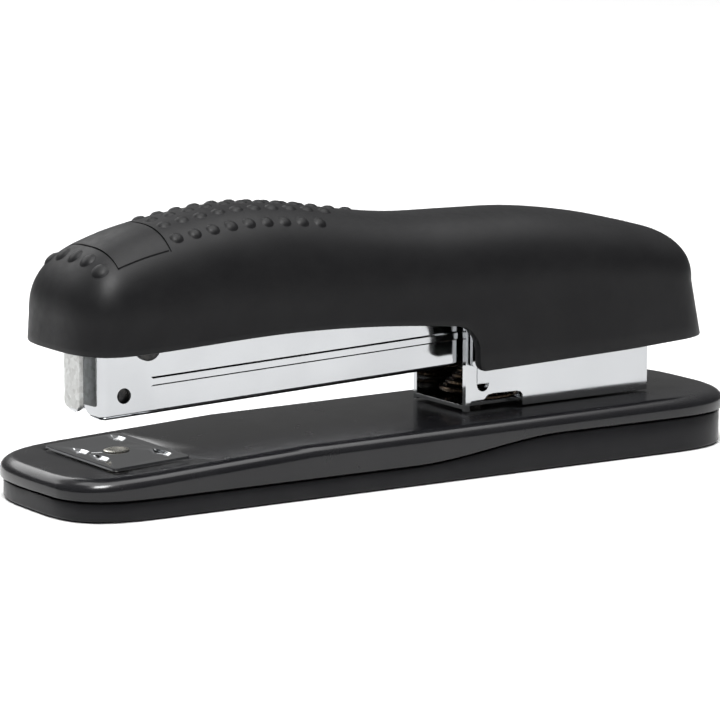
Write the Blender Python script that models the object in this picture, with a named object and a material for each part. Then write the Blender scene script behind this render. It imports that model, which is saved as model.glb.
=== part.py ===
"""Full-strip desk stapler, built as separate pieces on five moving axes.

Frame: +Z up, the long axis along X with the staple nose at -X and the hinge at +X, the origin on the
table under the middle of the base. Dimensions below are in millimetres; meshes are made in metres.
"""
import math

import bmesh
import bpy
from mathutils import Matrix, Vector

MM = 0.001
GAP = 0.3                       # clearance between pieces that touch on the real object

# Base: a sheet shell over a moulded pad
BASE_HALF_LENGTH = 81.65
BASE_HALF_WIDTH = 21.5
PAD_INSET = 0.6
FRONT_ROUND, FRONT_POWER = 23.0, 3.5     # superellipse that closes the nose end of the outline
REAR_ROUND, REAR_POWER = 24.0, 3.3
TOP_KINK_X, TOP_KINK_Z = -28.0, 10.75    # the top falls away to the nose in front of this line
TOP_NOSE_SLOPE, TOP_REAR_SLOPE = 0.049, 0.0085
SHOULDER = 2.4
SHELL_WALL = 1.2
PART_LOW, PART_HIGH = 4.1, 7.4           # height of the line between shell and pad, front and rear
PART_RISE_START, PART_RISE_END = -4.0, 33.0

# Anvil, on the sloping nose of the base
ANVIL_X = -61.3
ANVIL_LENGTH, ANVIL_WIDTH, ANVIL_THICK = 17.1, 28.6, 0.6
ANVIL_LIFT_GAP = 0.1
MOAT_WIDTH, MOAT_DEPTH = 0.6, 0.5
POST_R, POST_HOLE_R = 2.0, 2.6
BUTTON_R, BUTTON_POCKET_R = 5.0, 7.5

# Hinge and rear bracket
HINGE_X, HINGE_Z = 57.0, 29.0
PIN_R = 2.0
PIN_HOLE_R = PIN_R + GAP
BRACKET_FRONT, BRACKET_REAR = 15.95, 62.85
BRACKET_HALF_WIDTH, BRACKET_SHEET = 9.7, 1.2
EAR_Z = 32.5                              # the bracket's walls reach up into the handle
WINDOW_REACH = 6.4                        # a notch in the near wall's foot, cut into the floor to here
COIL_X = 25.3
BRACKET_RIVETS = (COIL_X, 42.0, 55.5)

# Magazine: its floor rises slowly from the nose to the hinge
MAG_FRONT, MAG_REAR = -68.85, 64.0
MAG_SLOPE = 0.039
MAG_NOSE_Z = 17.35
MAG_HALF_WIDTH, MAG_SHEET, MAG_HEIGHT = 7.3, 0.9, 17.6
NOSE_SLOT_HALF = 0.25                    # the seam between the two halves of the nose
NOSE_FLARE_Y, NOSE_FLARE_Z = 5.9, 3.6     # it flares open toward the bottom
STRIP_FACE, STRIP_BACK, STRIP_HALF = -71.35, -70.3, 3.05
NOSE_RIVET_Y, NOSE_RIVET_Z = (-4.7, 4.7), 33.3
NOSE_PIN = (-58.3, 0, 31.4)
CROSS_PIN_X, CROSS_PIN_HEIGHT = 51.2, 4.2
ROD_HEIGHT = 3.6                          # pusher rod, above the magazine's underside

# Handle
COVER_FRONT, COVER_REAR, COVER_HALF_WIDTH = -76.0, 74.1, 16.2
COVER_FRONT_ROUND, COVER_FRONT_POWER = 11.0, 3.0
COVER_REAR_ROUND, COVER_REAR_POWER = 12.0, 4.2
COVER_WALL = 2.0
COVER_SPINE_FRONT, COVER_SPINE_REAR = -64.6, 66.0
COVER_WALL_FRONT, COVER_WALL_REAR = 37.0, 35.0     # top of the nearly upright walls; domed above
COVER_DRAFT, COVER_NOSE_LEAN, COVER_TAIL_LEAN = 0.045, 0.06, 0.24
COVER_POWER = 2.5
COVER_TAPER = 0.1                         # share by which the tail narrows behind TAPER_X
TAPER_X = 50.0
ARCH_X, ARCH_Z, ARCH_BOW = -28.0, 32.9, 0.0015    # the lower edge arches over the magazine
NOSE_DIP, NOSE_DIP_RUN = 1.45, 42.0       # and dips toward the nose
STEP_X, STEP_R, SKIRT_R = 14.7, 6.0, 1.6  # it steps down here to a deeper skirt
SKIRT_Z, SKIRT_SLOPE = 21.0, 0.034
FRAME_HALF_WIDTH, FRAME_SHEET = 10.95, 0.9
FRAME_ROOF_Z = 44.5
BLADE_X, BLADE_THICK = -66.4, 0.8
COVER_SCREWS = (-38.0, 12.0)
DRIVER_RIVETS = (-62.5, -58.5)

# Crown line of the cover, from nose to heel
CROWN = [(-82.0, 46.6), (-70.0, 50.5), (-60.0, 53.9), (-48.0, 56.2), (-36.0, 57.4), (-24.0, 56.7),
         (-10.0, 54.6), (4.0, 52.9), (20.0, 52.5), (34.0, 52.1), (48.0, 50.3), (58.0, 48.2),
         (68.0, 45.6), (80.0, 42.0)]

FINISHES = {                              # colour, roughness, metallic
    "gloss_black": ((0.012, 0.012, 0.013), 0.12, 0.0),
    "satin_black": ((0.020, 0.020, 0.021), 0.55, 0.0),
    "soft_black": ((0.035, 0.036, 0.038), 0.60, 0.0),
    "chrome": ((0.80, 0.81, 0.82), 0.12, 1.0),
    "galvanised": ((0.62, 0.63, 0.62), 0.42, 1.0),
    "zinc": ((0.55, 0.54, 0.50), 0.35, 1.0),
    "spring_steel": ((0.16, 0.12, 0.09), 0.38, 1.0),
    "black_oxide": ((0.02, 0.02, 0.02), 0.35, 1.0),
}


# ---------------------------------------------------------------- scene helpers

def clear_scene():
    for old in list(bpy.data.objects):
        bpy.data.objects.remove(old, do_unlink=True)


def make_material(name, finish):
    colour, roughness, metallic = FINISHES[finish]
    material = bpy.data.materials.new(name)
    material.use_nodes = True
    shader = material.node_tree.nodes["Principled BSDF"]
    shader.inputs["Base Color"].default_value = (*colour, 1.0)
    shader.inputs["Roughness"].default_value = roughness
    shader.inputs["Metallic"].default_value = metallic
    return material


def make_empty(name, place, tilt=0.0, parent=None):
    empty = bpy.data.objects.new(name, None)
    bpy.context.collection.objects.link(empty)
    empty.parent = parent
    empty.matrix_world = Matrix.Translation(Vector(place) * MM) @ Matrix.Rotation(tilt, 4, "Y")
    bpy.context.view_layer.update()
    return empty


def world_to(parent):
    """The matrix from world space into a parent's own space."""
    return parent.matrix_world.inverted()


def finish_mesh(bm, name):
    """Turn a bmesh in world millimetres into a closed, outward-facing mesh in metres."""
    bmesh.ops.remove_doubles(bm, verts=bm.verts, dist=1e-5)
    bmesh.ops.recalc_face_normals(bm, faces=bm.faces)
    bmesh.ops.scale(bm, vec=(MM, MM, MM), verts=bm.verts)
    mesh = bpy.data.meshes.new(name)
    bm.to_mesh(mesh)
    bm.free()
    mesh.shade_smooth()
    mesh.set_sharp_from_angle(angle=math.radians(35))
    return mesh


def add_piece(name, bm, finish, pivot):
    """Link a solid to the empty on its joint axis, so that its origin lies on that axis."""
    piece = bpy.data.objects.new(name, finish_mesh(bm, name))
    bpy.context.collection.objects.link(piece)
    piece.data.materials.append(make_material(name, finish))
    piece.data.transform(world_to(pivot))
    piece.parent = pivot
    return piece


def add_tool(name, bm, pivot):
    """A hidden solid that cuts or fills another one."""
    tool = bpy.data.objects.new(name, finish_mesh(bm, name))
    bpy.context.collection.objects.link(tool)
    tool.data.transform(world_to(pivot))
    tool.parent = pivot
    tool.hide_render = True
    tool.display_type = "WIRE"
    return tool


def shape_with(piece, operation, *solids):
    for number, bm in enumerate(solids):
        tool = add_tool(f"{piece.name}_{operation.lower()}_{number}", bm, piece.parent)
        step = piece.modifiers.new(f"{operation.lower()}_{number}", "BOOLEAN")
        step.operation = operation
        step.object = tool


def cut(piece, *solids):
    shape_with(piece, "DIFFERENCE", *solids)


def fuse(piece, *solids):
    shape_with(piece, "UNION", *solids)


# ---------------------------------------------------------------- outlines and solids

def arc(centre, radius, start, end, steps):
    """Points on an arc in degrees, both ends included."""
    points = []
    for i in range(steps + 1):
        angle = math.radians(start + (end - start) * i / steps)
        points.append((centre[0] + radius * math.cos(angle), centre[1] + radius * math.sin(angle)))
    return points


def extruded(outline, axis, low, high):
    """A prism of a closed outline. The outline's axes are the other two, in X, Y, Z order."""
    bm = bmesh.new()

    def place(a, b, along):
        return {"X": (along, a, b), "Y": (a, along, b), "Z": (a, b, along)}[axis]

    lower = [bm.verts.new(place(a, b, low)) for a, b in outline]
    upper = [bm.verts.new(place(a, b, high)) for a, b in outline]
    bm.faces.new(lower)
    bm.faces.new(list(reversed(upper)))
    count = len(outline)
    for i in range(count):
        j = (i + 1) % count
        bm.faces.new((lower[i], lower[j], upper[j], upper[i]))
    return bm


def block(x0, x1, y0, y1, z0, z1):
    return extruded([(x0, z0), (x1, z0), (x1, z1), (x0, z1)], "Y", y0, y1)


def turned(profile, centre, axis, segments=20):
    """Revolve (radius, height) points about an axis; a profile that starts and ends at radius 0
    is a solid, any other is a closed ring."""
    bm = bmesh.new()
    rotation = Vector((0, 0, 1)).rotation_difference(Vector(axis)).to_matrix()
    rings = []
    for radius, height in profile:
        if radius == 0:
            rings.append([bm.verts.new(Vector(centre) + rotation @ Vector((0, 0, height)))])
            continue
        ring = []
        for k in range(segments):
            turn = 2 * math.pi * (k + 0.5) / segments
            spot = Vector((radius * math.cos(turn), radius * math.sin(turn), height))
            ring.append(bm.verts.new(Vector(centre) + rotation @ spot))
        rings.append(ring)
    solid = profile[0][0] == 0
    pairs = list(zip(rings, rings[1:])) if solid else list(zip(rings, rings[1:] + rings[:1]))
    for first, second in pairs:
        for k in range(segments):
            m = (k + 1) % segments
            corners = [first[k % len(first)], first[m % len(first)],
                       second[m % len(second)], second[k % len(second)]]
            unique = list(dict.fromkeys(corners))
            if len(unique) > 2:
                bm.faces.new(unique)
    return bm


def rod(centre, axis, radius, low, high, segments=20):
    return turned([(0, low), (radius, low), (radius, high), (0, high)], centre, axis, segments)


def rivet(centre, axis, radius, low, high, head_r, head_h, segments=16):
    """A shank with a domed head at each end; low and high are the faces that the heads clamp."""
    profile = [(0, low - head_h), (head_r * 0.6, low - head_h), (head_r, low - head_h * 0.45),
               (head_r, low), (radius, low), (radius, high), (head_r, high),
               (head_r, high + head_h * 0.45), (head_r * 0.6, high + head_h), (0, high + head_h)]
    return turned(profile, centre, axis, segments)


def swept_wire(path, radius, sides):
    """A round wire along a list of points, with flat ends."""
    bm = bmesh.new()
    rings = []
    side = None
    for i, point in enumerate(path):
        ahead = path[min(i + 1, len(path) - 1)]
        behind = path[max(i - 1, 0)]
        along = (ahead - behind).normalized()
        if side is None:
            side = along.orthogonal().normalized()
        side = (side - along * side.dot(along)).normalized()
        other = along.cross(side)
        ring = []
        for k in range(sides):
            turn = 2 * math.pi * k / sides
            ring.append(bm.verts.new(point + side * (radius * math.cos(turn))
                                     + other * (radius * math.sin(turn))))
        rings.append(ring)
    for first, second in zip(rings, rings[1:]):
        for k in range(sides):
            m = (k + 1) % sides
            bm.faces.new((first[k], first[m], second[m], second[k]))
    bm.faces.new(rings[0])
    bm.faces.new(list(reversed(rings[-1])))
    return bm


def coil(start, axis, length, r_start, r_end, turns, wire, per_turn=12, sides=6, belly=1.0, phase=0.0):
    """A helical spring; its first and last turns lie almost flat. A belly below 1 draws a conical
    one in sooner, and phase turns its start round the axis."""
    axis = Vector(axis).normalized()
    side = axis.orthogonal().normalized()
    other = axis.cross(side)
    steps = int(turns * per_turn)
    path = []
    for i in range(steps + 1):
        t = i / steps
        rise = t + 0.6 / turns * (math.sin(2 * math.pi * t) / (2 * math.pi)) * -1.0
        radius = r_start + (r_end - r_start) * t ** belly
        turn = phase + 2 * math.pi * turns * t
        centre = Vector(start) + axis * (wire + (length - 2 * wire) * rise)
        path.append(centre + side * (radius * math.cos(turn)) + other * (radius * math.sin(turn)))
    return swept_wire(path, wire, sides)


def mirrored_ring(half):
    """Close a half outline (y >= 0, tip to tip) with its mirror image."""
    return half + [(x, -y, z) for x, y, z in reversed(half[1:-1])]


def lofted(halves):
    """Skin a stack of mirrored rings and close both ends with cross strips."""
    bm = bmesh.new()
    rings = [[bm.verts.new(p) for p in mirrored_ring(half)] for half in halves]
    count = len(rings[0])
    for first, second in zip(rings, rings[1:]):
        for k in range(count):
            m = (k + 1) % count
            bm.faces.new((first[k], first[m], second[m], second[k]))
    tip = len(halves[0]) - 1
    for ring in (rings[0], rings[-1]):
        for i in range(tip):
            strip = [ring[i], ring[i + 1], ring[(count - i - 1) % count], ring[(count - i) % count]]
            bm.faces.new(list(dict.fromkeys(strip)))
    return bm


def end_curve(length, half_width, power, steps):
    """A quarter superellipse from its tip, as (distance from the tip, half width)."""
    points = []
    for i in range(steps + 1):
        t = math.radians(90.0 * i / steps)
        along = length * (1 - math.cos(t) ** (2 / power))
        points.append((along, half_width * math.sin(t) ** (2 / power)))
    return points


def smooth_step(t):
    t = min(max(t, 0.0), 1.0)
    return t * t * (3 - 2 * t)


def curve_through(points, x):
    """A smooth curve (Catmull-Rom) through points in order of x."""
    last = len(points) - 1
    i = 0
    while i < last - 1 and x > points[i + 1][0]:
        i += 1
    (xa, za), (xb, zb) = points[i], points[i + 1]

    def slope(k):
        low, high = points[max(k - 1, 0)], points[min(k + 1, last)]
        return (high[1] - low[1]) / (high[0] - low[0])

    span = xb - xa
    t = (x - xa) / span
    return (za * (2 * t ** 3 - 3 * t ** 2 + 1) + slope(i) * span * (t ** 3 - 2 * t ** 2 + t)
            + zb * (3 * t ** 2 - 2 * t ** 3) + slope(i + 1) * span * (t ** 3 - t ** 2))


# ---------------------------------------------------------------- base

def base_top(x):
    slope = TOP_NOSE_SLOPE if x < TOP_KINK_X else TOP_REAR_SLOPE
    return TOP_KINK_Z + slope * (x - TOP_KINK_X)


def parting(x):
    rise = smooth_step((x - PART_RISE_START) / (PART_RISE_END - PART_RISE_START))
    return PART_LOW + (PART_HIGH - PART_LOW) * rise


def base_half_outline(inset):
    front_tip, rear_tip = -BASE_HALF_LENGTH + inset, BASE_HALF_LENGTH - inset
    width = BASE_HALF_WIDTH - inset
    front = end_curve(FRONT_ROUND - inset, width, FRONT_POWER, 7)
    rear = end_curve(REAR_ROUND - inset, width, REAR_POWER, 7)
    points = [(front_tip + along, y) for along, y in front]
    points += [(x, width) for x in (-42.0, TOP_KINK_X, -4.0, 3.0, 9.0, 15.0, 21.0, 27.0, 33.0)]
    points += [(rear_tip - along, y) for along, y in reversed(rear)]
    return points


def base_ring(inset, height):
    return [(x, y, height(x)) for x, y in base_half_outline(inset)]


def build_base_shell(root):
    def under_top(drop):
        return lambda x: base_top(x) - drop

    rim = 0.15
    rings = [base_ring(SHELL_WALL + 2.0, under_top(SHELL_WALL)),
             base_ring(SHELL_WALL, under_top(SHELL_WALL + 1.6)),
             base_ring(SHELL_WALL, lambda x: parting(x) + rim),
             base_ring(0.2, lambda x: parting(x) + rim),
             base_ring(0.0, lambda x: parting(x) + rim + 0.2)]
    for i in range(5):
        turn = math.radians(90.0 * i / 4)
        inset = SHOULDER * 1.15 * (1 - math.cos(turn))
        rings.append(base_ring(inset, under_top(SHOULDER * (1 - math.sin(turn)))))
    shell = add_piece("base_shell", lofted(rings), "gloss_black", root)
    cut(shell, anvil_moat(), rod(anvil_point(0), anvil_axis(), POST_HOLE_R, -6, 6, 24))
    cut(shell, *[rod((x, 0, base_top(x)), (0, 0, 1), 2.0, -4, 4, 16) for x in BRACKET_RIVETS])


def build_base_pad(root):
    def side(height):
        return lambda x: height

    def above_parting(rise):
        return lambda x: parting(x) + rise

    tongue_out = SHELL_WALL + GAP
    rings = [base_ring(PAD_INSET + 0.8, side(0.0)),
             base_ring(PAD_INSET, side(0.8)),
             base_ring(PAD_INSET, above_parting(-GAP)),
             base_ring(tongue_out, above_parting(-GAP)),
             base_ring(tongue_out, above_parting(0.9)),
             base_ring(tongue_out + 1.2, above_parting(0.9)),
             base_ring(tongue_out + 1.2, above_parting(-GAP))]
    pad = add_piece("base_pad", lofted(rings), "satin_black", root)
    cut(pad, rod((ANVIL_X, 0, 0), (0, 0, 1), BUTTON_POCKET_R, -2, 8, 24))


# ---------------------------------------------------------------- anvil

def anvil_tilt():
    return -math.atan(TOP_NOSE_SLOPE)


def anvil_axis():
    return (-math.sin(math.atan(TOP_NOSE_SLOPE)), 0, math.cos(math.atan(TOP_NOSE_SLOPE)))


def anvil_point(height):
    """A point on the anvil's axis, at a height above the base's top."""
    return Vector((ANVIL_X, 0, base_top(ANVIL_X))) + Vector(anvil_axis()) * height


def on_nose(bm):
    """Move a solid made about the origin onto the sloping nose of the base."""
    bmesh.ops.rotate(bm, cent=(0, 0, 0), matrix=Matrix.Rotation(anvil_tilt(), 3, "Y"), verts=bm.verts)
    bmesh.ops.translate(bm, vec=anvil_point(0), verts=bm.verts)
    return bm


def rounded_rectangle(half_x, half_y, radius, steps=4):
    corners = [(half_x - radius, half_y - radius, 0), (-half_x + radius, half_y - radius, 90),
               (-half_x + radius, -half_y + radius, 180), (half_x - radius, -half_y + radius, 270)]
    points = []
    for cx, cy, start in corners:
        points += arc((cx, cy), radius, start, start + 90, steps)
    return points


def anvil_moat():
    """The shallow rectangular dish that the anvil plate sits over."""
    half_x = ANVIL_LENGTH / 2 + MOAT_WIDTH
    half_y = ANVIL_WIDTH / 2 + MOAT_WIDTH
    return on_nose(extruded(rounded_rectangle(half_x, half_y, 1.6), "Z", -MOAT_DEPTH, 2.0))


def clinch_pocket(x, y, length, width, depth_at, top):
    """A boat-shaped dent that turns a staple leg inward; long in Y."""
    profile = [(x + width / 2 * math.cos(a), y + length / 2 * math.sin(a))
               for a in [2 * math.pi * k / 14 for k in range(14)]]
    return on_nose(extruded(profile, "Z", depth_at, top))


def build_anvil(lifter, turner):
    low = ANVIL_LIFT_GAP
    high = low + ANVIL_THICK
    plate = on_nose(extruded(rounded_rectangle(ANVIL_LENGTH / 2, ANVIL_WIDTH / 2, 0.8), "Z", low, high))
    piece = add_piece("anvil_plate", plate, "chrome", turner)
    dent = high - 0.35
    cut(piece,
        rod(anvil_point(0), anvil_axis(), POST_R + GAP, low - 1, high + 1, 24),
        clinch_pocket(-6.0, 4.1, 7.4, 2.6, dent, high + 1),
        clinch_pocket(-6.0, -4.1, 7.4, 2.6, dent, high + 1),
        clinch_pocket(5.6, 9.8, 7.0, 2.6, dent, high + 1),
        clinch_pocket(5.6, -7.8, 8.4, 2.6, dent, high + 1))
    post = [(0, -7.3), (1.6, -7.3), (POST_R, -6.9), (POST_R, high + 0.12), (3.0, high + 0.12),
            (2.8, high + 0.32), (1.7, high + 0.44), (0, high + 0.45)]
    add_piece("anvil_post", turned(post, anvil_point(0), anvil_axis(), 24), "zinc", turner)
    bore = POST_R + GAP
    button = [(bore, -7.9), (BUTTON_R - 0.6, -7.9), (BUTTON_R, -7.4), (BUTTON_R, -6.5), (bore, -6.5)]
    add_piece("anvil_button", turned(button, anvil_point(0), anvil_axis(), 24), "zinc", turner)
    collar = [(bore, -6.2), (4.5, -6.2), (4.5, -5.4), (bore, -5.4)]
    add_piece("anvil_collar", turned(collar, anvil_point(0), anvil_axis(), 24), "zinc", lifter)


def build_anvil_spring(root):
    spring = coil(anvil_point(-5.1), anvil_axis(), 3.5, 3.4, 3.4, 2.5, 0.35, 12, 5)
    add_piece("anvil_spring", spring, "spring_steel", root)


# ---------------------------------------------------------------- rear bracket, hinge pin, springs

def bracket_floor(x):
    return base_top(x) + GAP


def build_bracket(root):
    front, rear = BRACKET_FRONT, BRACKET_REAR
    outline = [(front, bracket_floor(front)), (rear, bracket_floor(rear)), (rear, 23.5)]
    outline += arc((HINGE_X, HINGE_Z), 5.6, 8, 112, 6)
    outline += [(front + 1.5, EAR_Z), (front, EAR_Z - 1.5)]
    piece = add_piece("rear_bracket", extruded(outline, "Y", -BRACKET_HALF_WIDTH, BRACKET_HALF_WIDTH),
                      "chrome", root)
    inner = BRACKET_HALF_WIDTH - BRACKET_SHEET
    channel = [(front - 2, bracket_floor(front) + BRACKET_SHEET),
               (rear + 2, bracket_floor(rear) + BRACKET_SHEET), (rear + 2, 40), (front - 2, 40)]
    low = bracket_floor(20.0)
    window = [(17.0, low - 1), (30.4, low - 1), (30.4, low + 2.3), (29.4, low + 3.2),
              (21.6, low + 3.25), (20.6, low + 2.2), (17.4, low + 2.1), (17.0, low + 1.6)]
    half_moon = [(18.7, 17.0)] + arc((20.25, 16.9), 1.5, 180, 360, 8) + [(21.8, 17.0)]
    reach = BRACKET_HALF_WIDTH + 1
    cut(piece, extruded(channel, "Y", -inner, inner),
        extruded(window, "Y", -reach, -WINDOW_REACH),
        extruded(half_moon, "Y", -reach, -inner + 0.5),
        rod((HINGE_X, 0, HINGE_Z), (0, 1, 0), PIN_HOLE_R, -reach, reach, 24))
    cut(piece, *[rod((x, 0, bracket_floor(x)), (0, 0, 1), 2.0, -2, 3, 16) for x in BRACKET_RIVETS])
    strap = [(18.75, 17.2), (21.75, 17.2), (21.75, 20.6), (18.75, 20.4)]
    fuse(piece, extruded(strap, "Y", -BRACKET_HALF_WIDTH - 0.2, -BRACKET_HALF_WIDTH + 0.3))


def build_bracket_rivets(root):
    for number, x in enumerate(BRACKET_RIVETS, start=1):
        low = base_top(x) - SHELL_WALL - GAP
        high = bracket_floor(x) + BRACKET_SHEET + GAP
        shape = rivet((x, 0, 0), (0, 0, 1), 1.6, low, high, 2.9, 0.9)
        add_piece(f"bracket_rivet_{number}", shape, "zinc", root)


def build_hinge_pin(root):
    face = FRAME_HALF_WIDTH + GAP
    shape = rivet((HINGE_X, 0, HINGE_Z), (0, 1, 0), PIN_R, -face, face, 3.4, 1.0, 24)
    add_piece("hinge_pin", shape, "zinc", root)


def build_return_spring(root):
    low = bracket_floor(COIL_X) + BRACKET_SHEET + GAP
    height = magazine_floor(COIL_X) - GAP - low - 0.35
    spring = coil((COIL_X, 0, low), (0, 0, 1), height, 9.3, 3.4, 4.0, 0.55, 20, 6, belly=0.7,
                  phase=math.pi)
    add_piece("return_spring", spring, "spring_steel", root)


# ---------------------------------------------------------------- magazine

def magazine_floor(x):
    return MAG_NOSE_Z + MAG_SLOPE * (x - MAG_FRONT)


def in_magazine(points):
    """Outline points given as (x, height above the magazine's underside)."""
    return [(x, magazine_floor(x) + height) for x, height in points]


def cross_pin():
    return (CROSS_PIN_X, 0, magazine_floor(CROSS_PIN_X) + CROSS_PIN_HEIGHT)


def slope_axis():
    return Vector((1, 0, MAG_SLOPE)).normalized()


def magazine_rod(x0, x1, height, radius, segments=12):
    start = Vector((x0, 0, magazine_floor(x0) + height))
    axis = slope_axis()
    return rod(start, axis, radius, 0, (x1 - x0) / axis.x, segments)


def build_channel(pivot):
    front, rear, tall = MAG_FRONT, MAG_REAR, MAG_HEIGHT
    body = extruded([(front, 0), (rear, 0), (rear, 12.0), (20.0, tall), (front, tall)], "Y",
                    -MAG_HALF_WIDTH, MAG_HALF_WIDTH)
    round_edges(body, front)
    for vert in body.verts:
        vert.co.z += magazine_floor(vert.co.x)
    piece = add_piece("magazine_channel", body, "chrome", pivot)
    inner = MAG_HALF_WIDTH - MAG_SHEET
    hollow = in_magazine([(front + MAG_SHEET, MAG_SHEET), (rear + 2, MAG_SHEET), (rear + 2, tall + 3),
                          (front + MAG_SHEET, tall + 3)])
    slot_low, slot_high = MAG_NOSE_Z - 2, MAG_NOSE_Z + tall + 3
    slot = [(-NOSE_SLOT_HALF - NOSE_FLARE_Y, slot_low)]
    for i in range(7):
        turn = math.radians(90.0 - 15.0 * i)
        slot.append((-NOSE_SLOT_HALF - NOSE_FLARE_Y * (1 - math.cos(turn)),
                     MAG_NOSE_Z + NOSE_FLARE_Z * (1 - math.sin(turn))))
    slot.append((-NOSE_SLOT_HALF, slot_high))
    slot += [(-y, z) for y, z in reversed(slot)]
    reach = MAG_HALF_WIDTH + 1
    hole = (-63.65, 0, 22.1)
    cut(piece, extruded(hollow, "Y", -inner, inner),
        extruded(slot, "X", front - 1, front + MAG_SHEET + 0.1),
        block(front + MAG_SHEET - 0.05, -64.7, -inner, inner, MAG_NOSE_Z - 2, MAG_NOSE_Z + 2.2),
        rod(hole, (0, 1, 0), 1.5, -reach, reach, 20),
        rod(NOSE_PIN, (0, 1, 0), 1.8, -reach, reach, 16),
        rod(cross_pin(), (0, 1, 0), 1.3, -reach, reach, 12),
        rod((HINGE_X, 0, HINGE_Z), (0, 1, 0), PIN_HOLE_R, -reach, reach, 24),
        *[rod((front, y, NOSE_RIVET_Z), (1, 0, 0), 1.1, -1, 3, 12) for y in NOSE_RIVET_Y])
    rib = in_magazine([(-56.9, 5.85), (-57.2, 6.5), (-56.9, 7.2), (14.6, 7.2), (15.0, 6.5), (14.6, 5.85)])
    fuse(piece, extruded(rib, "Y", -MAG_HALF_WIDTH - 0.3, -MAG_HALF_WIDTH + 0.3),
         extruded(rib, "Y", MAG_HALF_WIDTH - 0.3, MAG_HALF_WIDTH + 0.3))


def round_edges(bm, front):
    """Round the two upright nose corners and the two long lower bends of the channel."""
    upright, lower = [], []
    for edge in bm.edges:
        a, b = (v.co for v in edge.verts)
        if abs(a.x - b.x) < 0.01 and abs(a.y - b.y) < 0.01 and abs(a.x - front) < 0.01:
            upright.append(edge)
        elif abs(a.y - b.y) < 0.01 and abs(a.x - b.x) > 1 and max(a.z, b.z) < 0.01:
            lower.append(edge)
    bmesh.ops.bevel(bm, geom=upright, offset=1.64, segments=4, profile=0.5, affect="EDGES")
    kept = [e for e in lower if e.is_valid]
    if kept:
        bmesh.ops.bevel(bm, geom=kept, offset=0.6, segments=2, profile=0.5, affect="EDGES")


def build_nose(pivot):
    """The galvanised strip in front of the slot, held on the channel by a wider riveted head."""
    face, back, half = STRIP_FACE, STRIP_BACK, STRIP_HALF
    head_back = MAG_FRONT - GAP
    blade = [(-half, 31.5), (-half, 20.6), (-half + 0.5, 19.6), (-half + 1.3, 19.3)]
    outline = blade + [(-y, z) for y, z in reversed(blade)]
    piece = add_piece("nose_guide", extruded(outline, "X", face, back), "galvanised", pivot)
    head = [(-6.4, 31.3), (6.4, 31.3), (6.4, 35.3), (-6.4, 35.3)]
    fuse(piece, extruded(head, "X", face, head_back))
    cut(piece, *[rod((face, y, NOSE_RIVET_Z), (1, 0, 0), 1.1, -1, 3, 12) for y in NOSE_RIVET_Y])
    for name, y in zip(("near", "far"), NOSE_RIVET_Y):
        low, high = -GAP, MAG_FRONT + MAG_SHEET + GAP - face
        shape = rivet((face, y, NOSE_RIVET_Z), (1, 0, 0), 0.8, low, high, 1.4, 0.5, 12)
        add_piece(f"nose_rivet_{name}", shape, "zinc", pivot)
    reach = MAG_HALF_WIDTH + GAP
    shape = rivet(NOSE_PIN, (0, 1, 0), 1.5, -reach, reach, 2.75, 0.9, 20)
    add_piece("nose_pin", shape, "black_oxide", pivot)


def build_rail(pivot):
    half, sheet, low, roof = 5.2, 0.8, MAG_SHEET + GAP, 6.9
    front, rear = -64.5, 53.6
    outline = in_magazine([(front, low), (rear, low), (rear, roof), (front, roof)])
    piece = add_piece("staple_rail", extruded(outline, "Y", -half, half), "zinc", pivot)
    hollow = in_magazine([(front - 1, low - 1), (rear + 1, low - 1), (rear + 1, roof - sheet),
                          (front - 1, roof - sheet)])
    slot = in_magazine([(-62.2, roof - 2), (42.5, roof - 2), (42.5, roof + 1), (-62.2, roof + 1)])
    cut(piece, extruded(hollow, "Y", -half + sheet, half - sheet), extruded(slot, "Y", -1.3, 1.3),
        rod(cross_pin(), (0, 1, 0), 1.3, -half - 1, half + 1, 12))
    reach = MAG_HALF_WIDTH + GAP
    add_piece("rail_cross_pin", rivet(cross_pin(), (0, 1, 0), 1.0, -reach, reach, 1.7, 0.35, 12),
              "zinc", pivot)


def build_pusher_rod(pivot):
    for name, x0, x1 in (("front", -64.2, -62.7), ("rear", 47.3, 48.9)):
        outline = in_magazine([(x0, 1.3), (x1, 1.3), (x1, 5.7), (x0, 5.7)])
        piece = add_piece(f"rod_holder_{name}", extruded(outline, "Y", -4.0, 4.0), "zinc", pivot)
        cut(piece, magazine_rod(x0 - 2, x1 + 2, ROD_HEIGHT, 1.1))
    add_piece("pusher_rod", magazine_rod(-64.0, 49.4, ROD_HEIGHT, 0.8), "zinc", pivot)


def build_spring_bridge(pivot):
    x0, x1, half, high, sheet = 28.0, 40.0, 6.1, 13.2, 0.9
    outline = in_magazine([(x0, 9.0), (x1, 9.0), (x1, high), (x0, high)])
    piece = add_piece("spring_bridge", extruded(outline, "Y", -half, half), "zinc", pivot)
    hollow = in_magazine([(x0 - 1, 8.0), (x1 + 1, 8.0), (x1 + 1, high - sheet), (x0 - 1, high - sheet)])
    cut(piece, extruded(hollow, "Y", -half + sheet, half - sheet))


# ---------------------------------------------------------------- pusher

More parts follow.
